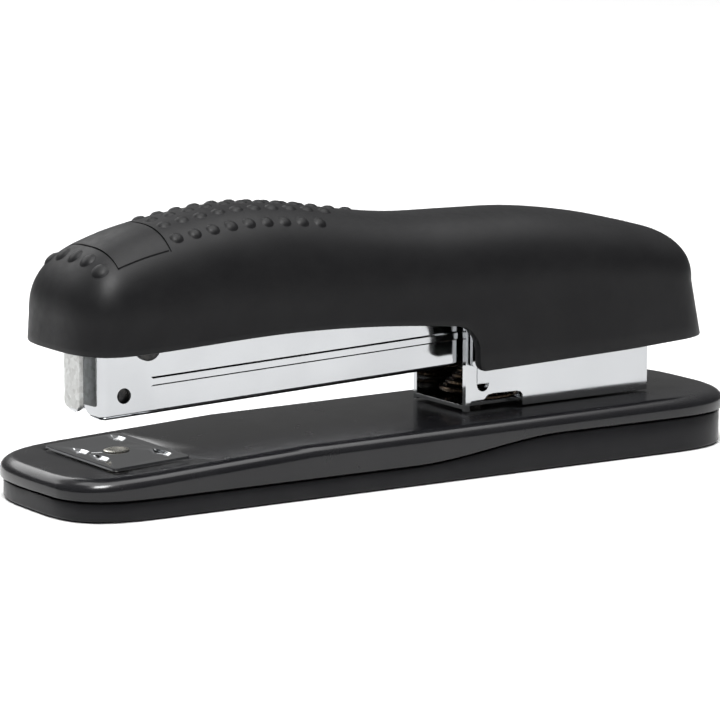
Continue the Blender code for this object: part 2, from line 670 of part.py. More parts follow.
def build_pusher(pivot):
    x0, x1, half, sheet = -64.2, -50.2, 6.1, 0.55
    outline = in_magazine([(x0, 1.5), (x1, 1.5), (x1, 8.2), (x0, 8.2)])
    piece = add_piece("staple_pusher", extruded(outline, "Y", -half, half), "black_oxide", pivot)
    hollow = in_magazine([(x0 - 1, 0.5), (x1 + 1, 0.5), (x1 + 1, 7.25), (x0 - 1, 7.25)])
    neck = in_magazine([(-61.5, 5.0), (-55.5, 5.0), (-55.5, 7.6), (-61.5, 7.6)])
    core = in_magazine([(-61.5, 1.6), (-55.5, 1.6), (-55.5, 5.7), (-61.5, 5.7)])
    tab = in_magazine([(-51.7, 8.0), (-50.6, 8.0), (-50.6, 11.0), (-51.7, 11.0)])
    cut(piece, extruded(hollow, "Y", -half + sheet, half - sheet))
    fuse(piece, extruded(neck, "Y", -0.95, 0.95), extruded(core, "Y", -3.2, 3.2),
         extruded(tab, "Y", -2.5, 2.5))
    cut(piece, magazine_rod(-63, -54, ROD_HEIGHT, 1.15))


def build_pusher_spring(pivot):
    x0, x1 = -55.1, 46.9
    start = Vector((x0, 0, magazine_floor(x0) + ROD_HEIGHT))
    length = (x1 - x0) / slope_axis().x
    spring = coil(start, slope_axis(), length, 1.6, 1.6, 17, 0.3, 8, 4)
    add_piece("pusher_spring", spring, "spring_steel", pivot)


# ---------------------------------------------------------------- handle

def cover_lower_edge(x):
    """Height of the cover's lower edge: a shallow arch over the magazine, a rounded step down in
    front of the bracket, and a deeper skirt behind it."""
    if x < ARCH_X:
        return ARCH_Z - NOSE_DIP * smooth_step((ARCH_X - x) / NOSE_DIP_RUN)
    round_start, skirt_start = STEP_X - STEP_R, STEP_X + SKIRT_R
    if x < round_start:
        return ARCH_Z - ARCH_BOW * (x - ARCH_X) ** 2
    if x <= STEP_X:
        centre = ARCH_Z - ARCH_BOW * (round_start - ARCH_X) ** 2 - STEP_R
        return centre + math.sqrt(max(STEP_R ** 2 - (x - round_start) ** 2, 0.0))
    if x < skirt_start:
        return SKIRT_Z + SKIRT_R - math.sqrt(SKIRT_R ** 2 - (skirt_start - x) ** 2)
    return SKIRT_Z + SKIRT_SLOPE * (x - skirt_start)


def cover_half_outline(inset):
    front_tip, rear_tip = COVER_FRONT + inset, COVER_REAR - inset
    width = COVER_HALF_WIDTH - inset
    front = end_curve(COVER_FRONT_ROUND - inset, width, COVER_FRONT_POWER, 8)
    rear = end_curve(COVER_REAR_ROUND - inset, width, COVER_REAR_POWER, 8)
    points = [(front_tip + along, y) for along, y in front]
    points += [(x, width) for x in (-55.0, -45.0, -35.0, -25.0, -16.0, -8.0, 0.0)]
    points += [(STEP_X + past, width) for past in (-6.0, -3.7, -1.75, -0.45, -0.01, 0.02, 0.45, 1.6)]
    points += [(x, width) for x in (25.0, 34.0, 43.0, 52.0)]
    points += [(rear_tip - along, y) for along, y in reversed(rear)]
    return [(x, y * (1 - COVER_TAPER * smooth_step((x - TAPER_X) / (COVER_REAR - TAPER_X))))
            for x, y in points]


def cover_wall_top(x):
    return COVER_WALL_FRONT + (COVER_WALL_REAR - COVER_WALL_FRONT) * smooth_step((x - 30.0) / 45.0)


def cover_foot(x, y):
    """The lower edge below an outline point: the walls lean out a little toward it."""
    low = cover_lower_edge(x)
    drop = cover_wall_top(x) - low
    nose = max((COVER_SPINE_FRONT - x) / (COVER_SPINE_FRONT - COVER_FRONT), 0.0)
    tail = max((x - COVER_SPINE_REAR) / (COVER_REAR - COVER_SPINE_REAR), 0.0)
    lean = COVER_TAIL_LEAN * tail - COVER_NOSE_LEAN * nose
    return (x + lean * drop, y * (1 + COVER_DRAFT * drop / COVER_HALF_WIDTH), low)


def cover_dome(x, y, turn, drop):
    """A point on the cover above its walls, over the outline point (x, y): turn runs from the top
    of the wall (0) to the crown line (90 degrees)."""
    hub = min(max(x, COVER_SPINE_FRONT), COVER_SPINE_REAR)
    spread = math.cos(turn) ** (2 / COVER_POWER)
    rise = math.sin(turn) ** (2 / COVER_POWER)
    px = hub + (x - hub) * spread
    base = cover_wall_top(x)
    crown = curve_through(CROWN, px) - drop
    return (px, y * spread, base + (crown - base) * rise)


def cover_rows(inset, drop, rows):
    """Rings of the cover: its lower edge, the top of its walls, then up to near its crown line."""
    outline = cover_half_outline(inset)
    halves = [[cover_foot(x, y) for x, y in outline]]
    for k in range(rows + 1):
        turn = math.radians(84.0 * k / rows)
        halves.append([cover_dome(x, y, turn, drop) for x, y in outline])
    return halves


def build_cover(pivot):
    inner = cover_rows(COVER_WALL, COVER_WALL, 5)
    outer = cover_rows(0.0, 0.0, 7)
    piece = add_piece("cover_shell", lofted(list(reversed(inner)) + outer), "soft_black", pivot)
    for x in COVER_SCREWS:
        top = curve_through(CROWN, x) - 1.0
        fuse(piece, rod((x, 0, 0), (0, 0, 1), 3.4, FRAME_ROOF_Z + FRAME_SHEET + GAP, top, 16))
    for x in COVER_SCREWS:
        roof = FRAME_ROOF_Z + FRAME_SHEET
        cut(piece, rod((x, 0, 0), (0, 0, 1), 1.5, roof - 1, roof + 4.2, 12))
    for number, x in enumerate(COVER_SCREWS, start=1):
        roof = FRAME_ROOF_Z
        shape = [(0, roof - 1.9), (1.8, roof - 1.9), (2.6, roof - 1.2), (2.6, roof - GAP),
                 (1.2, roof - GAP), (1.2, roof + 4.4), (0, roof + 5.0)]
        add_piece(f"cover_screw_{number}", turned(shape, (x, 0, 0), (0, 0, 1), 16), "zinc", pivot)


def build_frame(pivot):
    roof, half, sheet = FRAME_ROOF_Z, FRAME_HALF_WIDTH, FRAME_SHEET
    fall_x, rear_x = 38.0, 62.0
    rear_roof = roof - 0.24 * (rear_x - fall_x)
    outline = [(-67.4, roof + sheet), (-67.4, 42.0), (-47.0, 42.0), (-36.0, 35.6), (8.5, 34.0)]
    outline += arc((10.2, 26.6), 6.5, 72, 0, 5)
    outline += [(16.7, 21.6), (17.6, 20.9), (50.0, 22.2)]
    outline += arc((HINGE_X, HINGE_Z), 5.4, -80, 10, 5)
    outline += [(rear_x, rear_roof + sheet), (fall_x, roof + sheet)]
    piece = add_piece("handle_frame", extruded(outline, "Y", -half, half), "chrome", pivot)
    hollow = [(-80, 10), (80, 10), (80, rear_roof), (rear_x, rear_roof), (fall_x, roof), (-80, roof)]
    cut(piece, extruded(hollow, "Y", -half + sheet, half - sheet),
        rod((HINGE_X, 0, HINGE_Z), (0, 1, 0), PIN_HOLE_R, -half - 1, half + 1, 24),
        *[rod((x, 0, roof), (0, 0, 1), 1.5, -2, 3, 12) for x in COVER_SCREWS],
        *[rod((x, 0, roof), (0, 0, 1), 1.2, -2, 3, 12) for x in DRIVER_RIVETS])


def build_driver(pivot):
    tip = 25.2
    roof = FRAME_ROOF_Z - GAP
    front, back = BLADE_X, BLADE_X + BLADE_THICK
    outline = [(front, tip), (back, tip), (back, roof - 1.0), (-55.5, roof - 1.0), (-55.5, roof),
               (front, roof)]
    piece = add_piece("driver_blade", extruded(outline, "Y", -6.0, 6.0), "galvanised", pivot)
    cut(piece, *[rod((x, 0, roof), (0, 0, 1), 1.2, -3, 3, 12) for x in DRIVER_RIVETS])
    for number, x in enumerate(DRIVER_RIVETS, start=1):
        shape = rivet((x, 0, 0), (0, 0, 1), 0.9, roof - 1.0 - GAP, FRAME_ROOF_Z + FRAME_SHEET + GAP,
                      1.7, 0.5, 12)
        add_piece(f"driver_rivet_{number}", shape, "zinc", pivot)


def build_handle_spring(pivot):
    x = 34.0
    low = magazine_floor(x) + 13.2 + GAP
    spring = coil((x, 0, low), (0, 0, 1), FRAME_ROOF_Z - GAP - low, 3.2, 3.2, 4, 0.4, 12, 5)
    add_piece("handle_spring", spring, "spring_steel", pivot)


# ---------------------------------------------------------------- assembly

def build_stapler():
    clear_scene()
    root = make_empty("base_frame", (0, 0, 0))
    hinge = (HINGE_X, 0, HINGE_Z)
    magazine = make_empty("magazine_axis", hinge)
    handle = make_empty("handle_axis", hinge, parent=magazine)
    pusher = make_empty("pusher_axis", (-57.2, 0, magazine_floor(-57.2) + ROD_HEIGHT),
                        tilt=-math.atan(MAG_SLOPE), parent=magazine)
    lifter = make_empty("anvil_lift_axis", anvil_point(0), tilt=anvil_tilt())
    turner = make_empty("anvil_turn_axis", anvil_point(0), tilt=anvil_tilt(), parent=lifter)

    build_base_shell(root)
    build_base_pad(root)
    build_bracket(root)
    build_bracket_rivets(root)
    build_hinge_pin(root)
    build_return_spring(root)
    build_anvil_spring(root)
    build_anvil(lifter, turner)
    build_channel(magazine)
    build_nose(magazine)
    build_rail(magazine)
    build_pusher_rod(magazine)
    build_spring_bridge(magazine)
    build_pusher(pusher)
    build_pusher_spring(magazine)
    build_cover(handle)
    build_frame(handle)
    build_driver(handle)
    build_handle_spring(handle)


build_stapler()
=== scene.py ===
"""Looks of the full-strip desk stapler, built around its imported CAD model.

Everything is in the CAD's frame: +Z up, the nose at -X, the hinge at +X. Sizes are named in
millimetres and turned into metres when a mesh is made.
"""

import math

import bmesh
import bpy
from mathutils import Matrix, Vector
from mathutils.bvhtree import BVHTree


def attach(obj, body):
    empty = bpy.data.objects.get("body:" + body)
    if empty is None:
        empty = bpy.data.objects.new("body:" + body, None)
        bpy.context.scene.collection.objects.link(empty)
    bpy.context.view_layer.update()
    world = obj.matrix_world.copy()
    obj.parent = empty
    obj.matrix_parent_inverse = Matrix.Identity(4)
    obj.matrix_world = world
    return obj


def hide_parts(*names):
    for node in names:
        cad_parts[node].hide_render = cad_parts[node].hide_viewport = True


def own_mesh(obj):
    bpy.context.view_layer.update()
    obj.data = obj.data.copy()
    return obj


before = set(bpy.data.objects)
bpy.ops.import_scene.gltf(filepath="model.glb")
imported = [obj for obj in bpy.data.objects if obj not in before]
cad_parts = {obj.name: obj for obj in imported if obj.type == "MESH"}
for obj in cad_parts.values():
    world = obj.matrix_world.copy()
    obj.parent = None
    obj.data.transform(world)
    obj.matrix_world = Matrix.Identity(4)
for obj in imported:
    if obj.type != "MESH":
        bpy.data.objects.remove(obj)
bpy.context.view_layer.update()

MM = 0.001
GAP = 0.3
ALONG, ACROSS, UP = (1, 0, 0), (0, 1, 0), (0, 0, 1)

# Meshes: sides and steps of the round parts, the distances under which points merge, and the
# angles in degrees over which an edge is shaded sharp or bevelled
TURNED_SIDES, DOME_STEPS, CORNER_STEPS = 48, 6, 8
COIL_STEPS, WIRE_SIDES = 48, 12
BASE_END_STEPS, COVER_END_STEPS, COVER_ROWS, COVER_INNER_ROWS = 36, 30, 44, 14
CLINCH_SIDES, BUMP_SIDES, BUMP_STEPS, GROOVE_STEPS = 32, 28, 8, 24
MERGE_DISTANCE, SLIVER_DISTANCE = 1e-4, 1e-5
SHARP_ANGLE, SHELL_SHARP_ANGLE, BUMP_SHARP_ANGLE = 40.0, 30.0, 60.0
BEVEL_ANGLE = 28.0

# Base
BASE_HALF_LENGTH, BASE_HALF_WIDTH = 81.65, 21.5
PAD_INSET = 0.6
FRONT_ROUND, FRONT_POWER = 23.0, 3.5
REAR_ROUND, REAR_POWER = 24.0, 3.3
TOP_KINK_X, TOP_KINK_Z = -28.0, 10.75
TOP_NOSE_SLOPE, TOP_REAR_SLOPE = 0.049, 0.0085
SHOULDER, SHOULDER_SPREAD = 2.4, 1.15
SHELL_WALL, SHELL_LIP = 1.2, 0.15
FOOT_ROUND = 0.7
TONGUE_RISE, TONGUE_WALL = 0.9, 1.2
PART_LOW, PART_HIGH = 4.1, 7.4
PART_RISE_START, PART_RISE_END = -4.0, 33.0

# Anvil
ANVIL_X = -61.3
ANVIL_LENGTH, ANVIL_WIDTH, ANVIL_THICK = 17.1, 28.6, 0.6
ANVIL_LIFT_GAP = 0.1
MOAT_WIDTH, MOAT_DEPTH = 0.6, 0.5
CLINCH_WIDTH, CLINCH_DEPTH = 3.1, 0.5
CLINCHES = ((-6.0, 4.1, 7.8), (-6.0, -4.1, 7.8), (5.6, 9.8, 7.4), (5.6, -7.8, 8.8))
POST_R, BUTTON_R, BUTTON_POCKET_R = 2.0, 5.0, 7.5
ANVIL_COIL_LOW, ANVIL_COIL_LENGTH, ANVIL_COIL_R = -4.8, 3.2, 3.4

# Hinge and rear bracket
HINGE_X, HINGE_Z = 57.0, 29.0
PIN_R = 2.0
BRACKET_FRONT, BRACKET_REAR = 15.95, 62.85
BRACKET_HALF_WIDTH, BRACKET_SHEET = 9.7, 1.2
EAR_Z = 32.5
EAR_ROUND, EAR_REAR_Z, HINGE_BOSS_R = 1.5, 23.5, 5.6
WINDOW_REACH = 6.4
COIL_X = 25.3
COIL_LOW_R, COIL_HIGH_R, COIL_CLEARANCE = 9.3, 3.4, 1.8
BRACKET_RIVETS = (COIL_X, 42.0, 55.5)
BRACKET_RIVET_R, BRACKET_HOLE_R = 1.6, 2.0

# Magazine
MAG_FRONT, MAG_REAR = -68.85, 64.0
MAG_SLOPE, MAG_NOSE_Z = 0.039, 17.35
MAG_HALF_WIDTH, MAG_SHEET, MAG_HEIGHT = 7.3, 0.9, 17.6
MAG_CORNER, MAG_BEND = 1.7, 1.2
RIB_FRONT, RIB_REAR, RIB_LOW, RIB_HIGH = -57.2, 16.4, 5.95, 7.2
NOSE_SLOT_HALF = 0.25
NOSE_FLARE_Y, NOSE_FLARE_Z = 5.9, 3.6
STRIP_FACE, STRIP_BACK, STRIP_HALF = -71.35, -70.3, 3.05
NOSE_RIVET_Y, NOSE_RIVET_Z, NOSE_RIVET_R = (-4.7, 4.7), 33.3, 0.8
NOSE_HOLE, NOSE_HOLE_R = (-63.65, 0, 22.1), 1.55
NOSE_PIN, NOSE_PIN_R = (-58.3, 0, 31.4), 1.5
CROSS_PIN_X, CROSS_PIN_HEIGHT, CROSS_PIN_R = 51.2, 4.2, 1.0
ROD_HEIGHT, ROD_FRONT, ROD_REAR, ROD_R = 3.6, -64.0, 49.4, 0.8
PUSHER_COIL_X, PUSHER_COIL_RUN, PUSHER_COIL_R = -55.1, 102.0, 1.6

# Handle
COVER_FRONT, COVER_REAR, COVER_HALF_WIDTH = -76.0, 74.1, 16.2
COVER_FRONT_ROUND, COVER_FRONT_POWER = 11.0, 3.0
COVER_REAR_ROUND, COVER_REAR_POWER = 12.0, 4.2
COVER_WALL = 2.0
COVER_SPINE_FRONT, COVER_SPINE_REAR = -64.6, 66.0
COVER_WALL_FRONT, COVER_WALL_REAR = 37.0, 35.0
WALL_FALL_X, WALL_FALL_RUN = 30.0, 45.0
COVER_DRAFT, COVER_NOSE_LEAN, COVER_TAIL_LEAN = 0.045, 0.06, 0.24
COVER_POWER = 2.5
COVER_TAPER = 0.1
TAPER_X = 50.0
ARCH_X, ARCH_Z, ARCH_BOW = -28.0, 32.9, 0.0015
NOSE_DIP, NOSE_DIP_RUN = 1.45, 42.0
STEP_X, STEP_R, SKIRT_R = 14.7, 6.0, 1.6
SKIRT_Z, SKIRT_SLOPE = 21.0, 0.034
RIM_ROUND, RIM_BEND, RIM_RISE = 0.45, 0.12, 0.13
FRAME_HALF_WIDTH, FRAME_SHEET = 10.95, 0.9
FRAME_FRONT, FRAME_REAR, FRAME_ROOF_Z = -67.4, 62.0, 44.5
ROOF_FALL_X, ROOF_FALL = 38.0, 0.24
COVER_SCREWS, COVER_SCREW_R = (-38.0, 12.0), 1.2
DRIVER_RIVETS, DRIVER_RIVET_R = (-62.5, -58.5), 0.9
HANDLE_COIL_X, HANDLE_COIL_RISE, HANDLE_COIL_R = 34.0, 14.6, 3.2
CROWN = [(-82.0, 46.6), (-70.0, 50.5), (-60.0, 53.9), (-48.0, 56.2), (-36.0, 57.4), (-24.0, 56.7),
         (-10.0, 54.6), (4.0, 52.9), (20.0, 52.5), (34.0, 52.1), (48.0, 50.3), (58.0, 48.2),
         (68.0, 45.6), (80.0, 42.0)]

# Grip bumps and the blank label on the cover
BUMP_RADIUS, BUMP_HEIGHT = 1.25, 0.57
BUMP_START_X, BUMP_PITCH = -53.2, 4.15
BUMP_ROWS = ((-10.0, 9), (-5.0, 10), (0.0, 12), (5.0, 10), (10.0, 9))
NOSE_BUMP_X, NOSE_BUMP_RADIUS = -70.3, 1.55
LABEL_FRONT, LABEL_REAR, LABEL_HALF_WIDTH = -67.45, -55.75, 12.0
GROOVE_WIDTH, GROOVE_DEPTH = 0.4, 0.35

# Stage, light and camera: angles in radians, floor and lights in metres, light power in watts
AZIMUTH, ELEVATION, ROLL = 0.576286, 0.171858, 0.004018
CAMERA_DISTANCE = 788.07
CAMERA_TARGET = Vector((-3.85, 0.0, 22.75))
LENS, SENSOR = 191.56, 36.0
FLOOR_RADIUS, FLOOR_Z, FLOOR_GREY = 6.0, -0.0002, 0.64
SKY_LOW, SKY_HIGH = 0.17, 0.45
PART_MIDDLE = (0, 0, 0.03)
SOFTBOXES = (("top_softbox", (0.3, -0.05, 2.4), (0.3, -0.05, 0.0), (2.8, 2.4), 78.0),
             ("back_softbox", (-0.25, 1.7, 1.1), PART_MIDDLE, (1.9, 0.7), 12.0),
             ("corner_softbox", (-0.54, -0.6, 1.35), PART_MIDDLE, (0.5, 0.5), 30.0))


# ---------------------------------------------------------------- materials

class Finish:
    """A Principled material with helpers that add fine procedural detail in object space."""

    NOISE_LOW, NOISE_HIGH = 0.3, 0.7

    def __init__(self, name, colour, roughness, metallic=0.0, coat=0.0, specular=0.5):
        self.material = bpy.data.materials.new(name)
        self.material.use_nodes = True
        self.tree = self.material.node_tree
        self.shader = self.tree.nodes["Principled BSDF"]
        self.set("Base Color", (*colour, 1.0))
        self.set("Roughness", roughness)
        self.set("Metallic", metallic)
        self.set("Coat Weight", coat)
        self.set("Specular IOR Level", specular)
        self.height = None
        coordinates = self.tree.nodes.new("ShaderNodeTexCoord")
        self.place = coordinates.outputs["Object"]

    def set(self, socket, value):
        self.shader.inputs[socket].default_value = value

    def stretched(self, scale):
        mapping = self.tree.nodes.new("ShaderNodeMapping")
        mapping.inputs["Scale"].default_value = scale
        self.tree.links.new(self.place, mapping.inputs["Vector"])
        return mapping.outputs["Vector"]

    def noise(self, size_mm, detail=3.0, stretch=None):
        node = self.tree.nodes.new("ShaderNodeTexNoise")
        node.inputs["Scale"].default_value = 1.0 / (size_mm * MM)
        node.inputs["Detail"].default_value = detail
        place = self.stretched(stretch) if stretch else self.place
        self.tree.links.new(place, node.inputs["Vector"])
        return node.outputs["Fac"]

    def cells(self, size_mm):
        node = self.tree.nodes.new("ShaderNodeTexVoronoi")
        node.inputs["Scale"].default_value = 1.0 / (size_mm * MM)
        self.tree.links.new(self.place, node.inputs["Vector"])
        split = self.tree.nodes.new("ShaderNodeSeparateColor")
        self.tree.links.new(node.outputs["Color"], split.inputs["Color"])
        return split.outputs["Red"]

    def vary_colour(self, factor, dark, light, low=0.35, high=0.65):
        ramp = self.tree.nodes.new("ShaderNodeValToRGB")
        ramp.color_ramp.elements[0].position, ramp.color_ramp.elements[1].position = low, high
        ramp.color_ramp.elements[0].color = (*dark, 1.0)
        ramp.color_ramp.elements[1].color = (*light, 1.0)
        self.tree.links.new(factor, ramp.inputs["Fac"])
        self.tree.links.new(ramp.outputs["Color"], self.shader.inputs["Base Color"])
        return self

    def vary_roughness(self, factor, low, high):
        spread = self.tree.nodes.new("ShaderNodeMapRange")
        spread.inputs["From Min"].default_value = self.NOISE_LOW
        spread.inputs["From Max"].default_value = self.NOISE_HIGH
        spread.inputs["To Min"].default_value = low
        spread.inputs["To Max"].default_value = high
        self.tree.links.new(factor, spread.inputs["Value"])
        self.tree.links.new(spread.outputs["Result"], self.shader.inputs["Roughness"])
        return self

    def bump(self, factor, depth_mm, strength):
        node = self.tree.nodes.new("ShaderNodeBump")
        node.inputs["Strength"].default_value = strength
        node.inputs["Distance"].default_value = depth_mm * MM
        self.tree.links.new(factor, node.inputs["Height"])
        if self.height:
            self.tree.links.new(self.height, node.inputs["Normal"])
        self.height = node.outputs["Normal"]
        self.tree.links.new(self.height, self.shader.inputs["Normal"])
        return self


def soft_black():
    """Soft-touch rubbery coating: near-black, broad sheen, a fine even grain."""
    finish = Finish("soft_touch_black", (0.004, 0.004, 0.0045), 0.47, specular=0.19)
    finish.vary_colour(finish.noise(9.0), (0.0035, 0.0035, 0.004), (0.005, 0.005, 0.0055))
    finish.vary_roughness(finish.noise(2.2, 5.0), 0.43, 0.51)
    finish.bump(finish.noise(0.3, 2.0), 0.025, 0.6)
    return finish.material


def gloss_black():
    """Stove enamel on pressed steel: a wet gloss with a faint orange peel."""
    finish = Finish("gloss_enamel_black", (0.004, 0.004, 0.005), 0.24, coat=0.2, specular=0.28)
    finish.set("Coat Roughness", 0.08)
    finish.vary_colour(finish.noise(14.0), (0.004, 0.004, 0.005), (0.006, 0.006, 0.007))
    finish.vary_roughness(finish.noise(5.0, 4.0), 0.2, 0.28)
    finish.bump(finish.noise(1.6, 1.0), 0.012, 0.35)
    return finish.material


def satin_black():
    """Moulded plastic pad with a fine spark-eroded texture."""
    finish = Finish("satin_pad_black", (0.005, 0.005, 0.006), 0.34, specular=0.2)
    finish.vary_colour(finish.noise(6.0), (0.004, 0.004, 0.005), (0.006, 0.006, 0.007))
    finish.vary_roughness(finish.noise(1.5, 4.0), 0.3, 0.4)
    finish.bump(finish.noise(0.3, 2.0), 0.02, 0.4)
    return finish.material


def chrome():
    """Bright nickel-chrome on drawn steel, with faint polishing lines along it."""
    finish = Finish("bright_chrome", (0.45, 0.459, 0.47), 0.09, metallic=1.0)
    finish.vary_colour(finish.noise(18.0), (0.43, 0.439, 0.45), (0.47, 0.479, 0.49))
    finish.vary_roughness(finish.noise(1.2, 4.0, stretch=(0.12, 1.0, 1.0)), 0.06, 0.13)
    finish.bump(finish.noise(0.5, 3.0, stretch=(0.05, 1.0, 1.0)), 0.004, 0.25)
    return finish.material


def galvanised():
    """Hot-dip zinc: dull grey with a spangle of crystals about a millimetre across."""
    finish = Finish("galvanised_steel", (0.5, 0.51, 0.5), 0.42, metallic=1.0)
    finish.vary_colour(finish.cells(1.0), (0.44, 0.44, 0.43), (0.58, 0.59, 0.58), 0.05, 0.95)
    finish.vary_roughness(finish.noise(0.9, 5.0), 0.34, 0.55)
    finish.bump(finish.noise(0.35, 4.0), 0.02, 0.35)
    return finish.material


def zinc():
    """Bright zinc plate on turned and pressed parts, a little yellowed."""
    finish = Finish("zinc_plate", (0.62, 0.6, 0.54), 0.3, metallic=1.0)
    finish.vary_colour(finish.noise(1.8, 4.0), (0.50, 0.48, 0.42), (0.70, 0.68, 0.62))
    finish.vary_roughness(finish.noise(0.7, 4.0), 0.24, 0.38)
    finish.bump(finish.noise(0.25, 3.0), 0.01, 0.3)
    return finish.material


def spring_steel():
    """Oil-tempered wire: dark brown with straw-coloured patches."""
    finish = Finish("tempered_wire", (0.14, 0.1, 0.07), 0.3, metallic=1.0)
    finish.vary_colour(finish.noise(2.5, 3.0), (0.07, 0.05, 0.035), (0.30, 0.22, 0.14), 0.5, 0.8)
    finish.vary_roughness(finish.noise(0.6, 4.0), 0.22, 0.36)
    finish.bump(finish.noise(0.2, 2.0, stretch=(1.0, 1.0, 0.3)), 0.008, 0.3)
    return finish.material


def black_oxide():
    """Chemically blackened steel with a slight oily gloss."""
    finish = Finish("black_oxide", (0.03, 0.03, 0.032), 0.35, metallic=0.85)
    finish.vary_colour(finish.noise(1.2, 4.0), (0.018, 0.018, 0.020), (0.05, 0.048, 0.046))
    finish.vary_roughness(finish.noise(0.5, 3.0), 0.26, 0.42)
    finish.bump(finish.noise(0.3, 3.0), 0.01, 0.3)
    return finish.material


MATERIALS = {"soft_black": soft_black(), "gloss_black": gloss_black(), "satin_black": satin_black(),
             "chrome": chrome(), "galvanised": galvanised(), "zinc": zinc(),
             "spring_steel": spring_steel(), "black_oxide": black_oxide()}


# ---------------------------------------------------------------- outlines and solids

def arc(centre, radius, start, end, steps):
    points = []
    for i in range(steps + 1):
        angle = math.radians(start + (end - start) * i / steps)
        points.append((centre[0] + radius * math.cos(angle), centre[1] + radius * math.sin(angle)))
    return points


def end_curve(length, half_width, power, steps):
    """A quarter superellipse from its tip, as (distance from the tip, half width)."""
    points = []
    for i in range(steps + 1):
        t = math.radians(90.0 * i / steps)
        points.append((length * (1 - math.cos(t) ** (2 / power)),
                       half_width * math.sin(t) ** (2 / power)))
    return points


def smooth_step(t):
    t = min(max(t, 0.0), 1.0)
    return t * t * (3 - 2 * t)


def curve_through(points, x):
    """A smooth curve (Catmull-Rom) through points in order of x."""
    last = len(points) - 1
    i = 0
    while i < last - 1 and x > points[i + 1][0]:
        i += 1
    (xa, za), (xb, zb) = points[i], points[i + 1]

    def slope(k):
        low, high = points[max(k - 1, 0)], points[min(k + 1, last)]
        return (high[1] - low[1]) / (high[0] - low[0])

    span = xb - xa
    t = (x - xa) / span
    return (za * (2 * t ** 3 - 3 * t ** 2 + 1) + slope(i) * span * (t ** 3 - 2 * t ** 2 + t)
            + zb * (3 * t ** 2 - 2 * t ** 3) + slope(i + 1) * span * (t ** 3 - t ** 2))


def spaced(start, end, step):
    """Even stations between two places, both left out."""
    count = max(int(abs(end - start) / step), 1)
    return [start + (end - start) * i / count for i in range(1, count)]


def join_rings(bm, rings):
    """Faces from each ring of vertices to the next; the count of the first ring goes for all."""
    count = len(rings[0])
    for first, second in zip(rings, rings[1:]):
        for k in range(count):
            m = (k + 1) % count
            bm.faces.new((first[k], first[m], second[m], second[k]))


def stacked(outlines):
    """A solid through closed outlines of points, with a flat face at each end."""
    bm = bmesh.new()
    rings = [[bm.verts.new(point) for point in outline] for outline in outlines]
    bm.faces.new(rings[0])
    bm.faces.new(list(reversed(rings[-1])))
    join_rings(bm, rings)
    return bm


def extruded(outline, axis, low, high):
    def place(a, b, along):
        return {"X": (along, a, b), "Y": (a, along, b), "Z": (a, b, along)}[axis]

    return stacked([[place(a, b, along) for a, b in outline] for along in (low, high)])


def block(x0, x1, y0, y1, z0, z1):
    return extruded([(x0, z0), (x1, z0), (x1, z1), (x0, z1)], "Y", y0, y1)


def turned(profile, centre, axis):
    """Revolve (radius, height) points; radius 0 at both ends makes a solid, else a closed ring."""
    bm = bmesh.new()
    rotation = Vector(UP).rotation_difference(Vector(axis)).to_matrix()
    rings = []
    for radius, height in profile:
        count = 1 if radius == 0 else TURNED_SIDES
        ring = []
        for k in range(count):
            turn = 2 * math.pi * (k + 0.5) / count
            spot = Vector((radius * math.cos(turn), radius * math.sin(turn), height))
            ring.append(bm.verts.new(Vector(centre) + rotation @ spot))
        rings.append(ring)
    solid = profile[0][0] == 0
    for first, second in zip(rings, rings[1:] if solid else rings[1:] + rings[:1]):
        for k in range(TURNED_SIDES):
            m = (k + 1) % TURNED_SIDES
            corners = [first[k % len(first)], first[m % len(first)],
                       second[m % len(second)], second[k % len(second)]]
            unique = list(dict.fromkeys(corners))
            if len(unique) > 2:
                bm.faces.new(unique)
    return bm


def rod(centre, axis, radius, low, high):
    return turned([(0, low), (radius, low), (radius, high), (0, high)], centre, axis)


def domed(radius, height, base, up):
    """Profile of a domed head, with an upright rim, from its rim to its top; up is 1 or -1."""
    rim = 0.3
    points = []
    for i in range(DOME_STEPS + 1):
        angle = math.radians(90.0 * i / DOME_STEPS)
        reach = radius * math.cos(angle) if i < DOME_STEPS else 0
        points.append((reach, base + up * height * (rim + (1 - rim) * math.sin(angle))))
    return points


def rivet(centre, axis, radius, low, high, head_r, head_h):
    """A shank with a domed head below low and another above high."""
    profile = list(reversed(domed(head_r, head_h, low, -1)))
    profile += [(head_r, low), (radius, low), (radius, high), (head_r, high)]
    return turned(profile + domed(head_r, head_h, high, 1), centre, axis)


def swept(path, radius):
    """A round wire along a list of points."""
    outlines = []
    side = None
    for i, point in enumerate(path):
        ahead, behind = path[min(i + 1, len(path) - 1)], path[max(i - 1, 0)]
        along = (ahead - behind).normalized()
        if side is None:
            side = along.orthogonal().normalized()
        side = (side - along * side.dot(along)).normalized()
        other = along.cross(side)
        turns = [2 * math.pi * k / WIRE_SIDES for k in range(WIRE_SIDES)]
        outlines.append([point + side * (radius * math.cos(turn))
                         + other * (radius * math.sin(turn)) for turn in turns])
    return stacked(outlines)


def coil(start, axis, length, r_start, r_end, turns, wire, belly=1.0, phase=0.0):
    """A helical spring, closer wound at its ends; belly curves the outline of a tapered one."""
    end_closing = 0.6 / turns
    axis = Vector(axis).normalized()
    side = axis.orthogonal().normalized()
    other = axis.cross(side)
    steps = int(turns * COIL_STEPS)
    path = []
    for i in range(steps + 1):
        t = i / steps
        rise = t - end_closing * math.sin(2 * math.pi * t) / (2 * math.pi)
        radius = r_start + (r_end - r_start) * t ** belly
        turn = phase + 2 * math.pi * turns * t
        centre = Vector(start) + axis * (wire + (length - 2 * wire) * rise)
        path.append(centre + side * (radius * math.cos(turn)) + other * (radius * math.sin(turn)))
    return swept(path, wire)


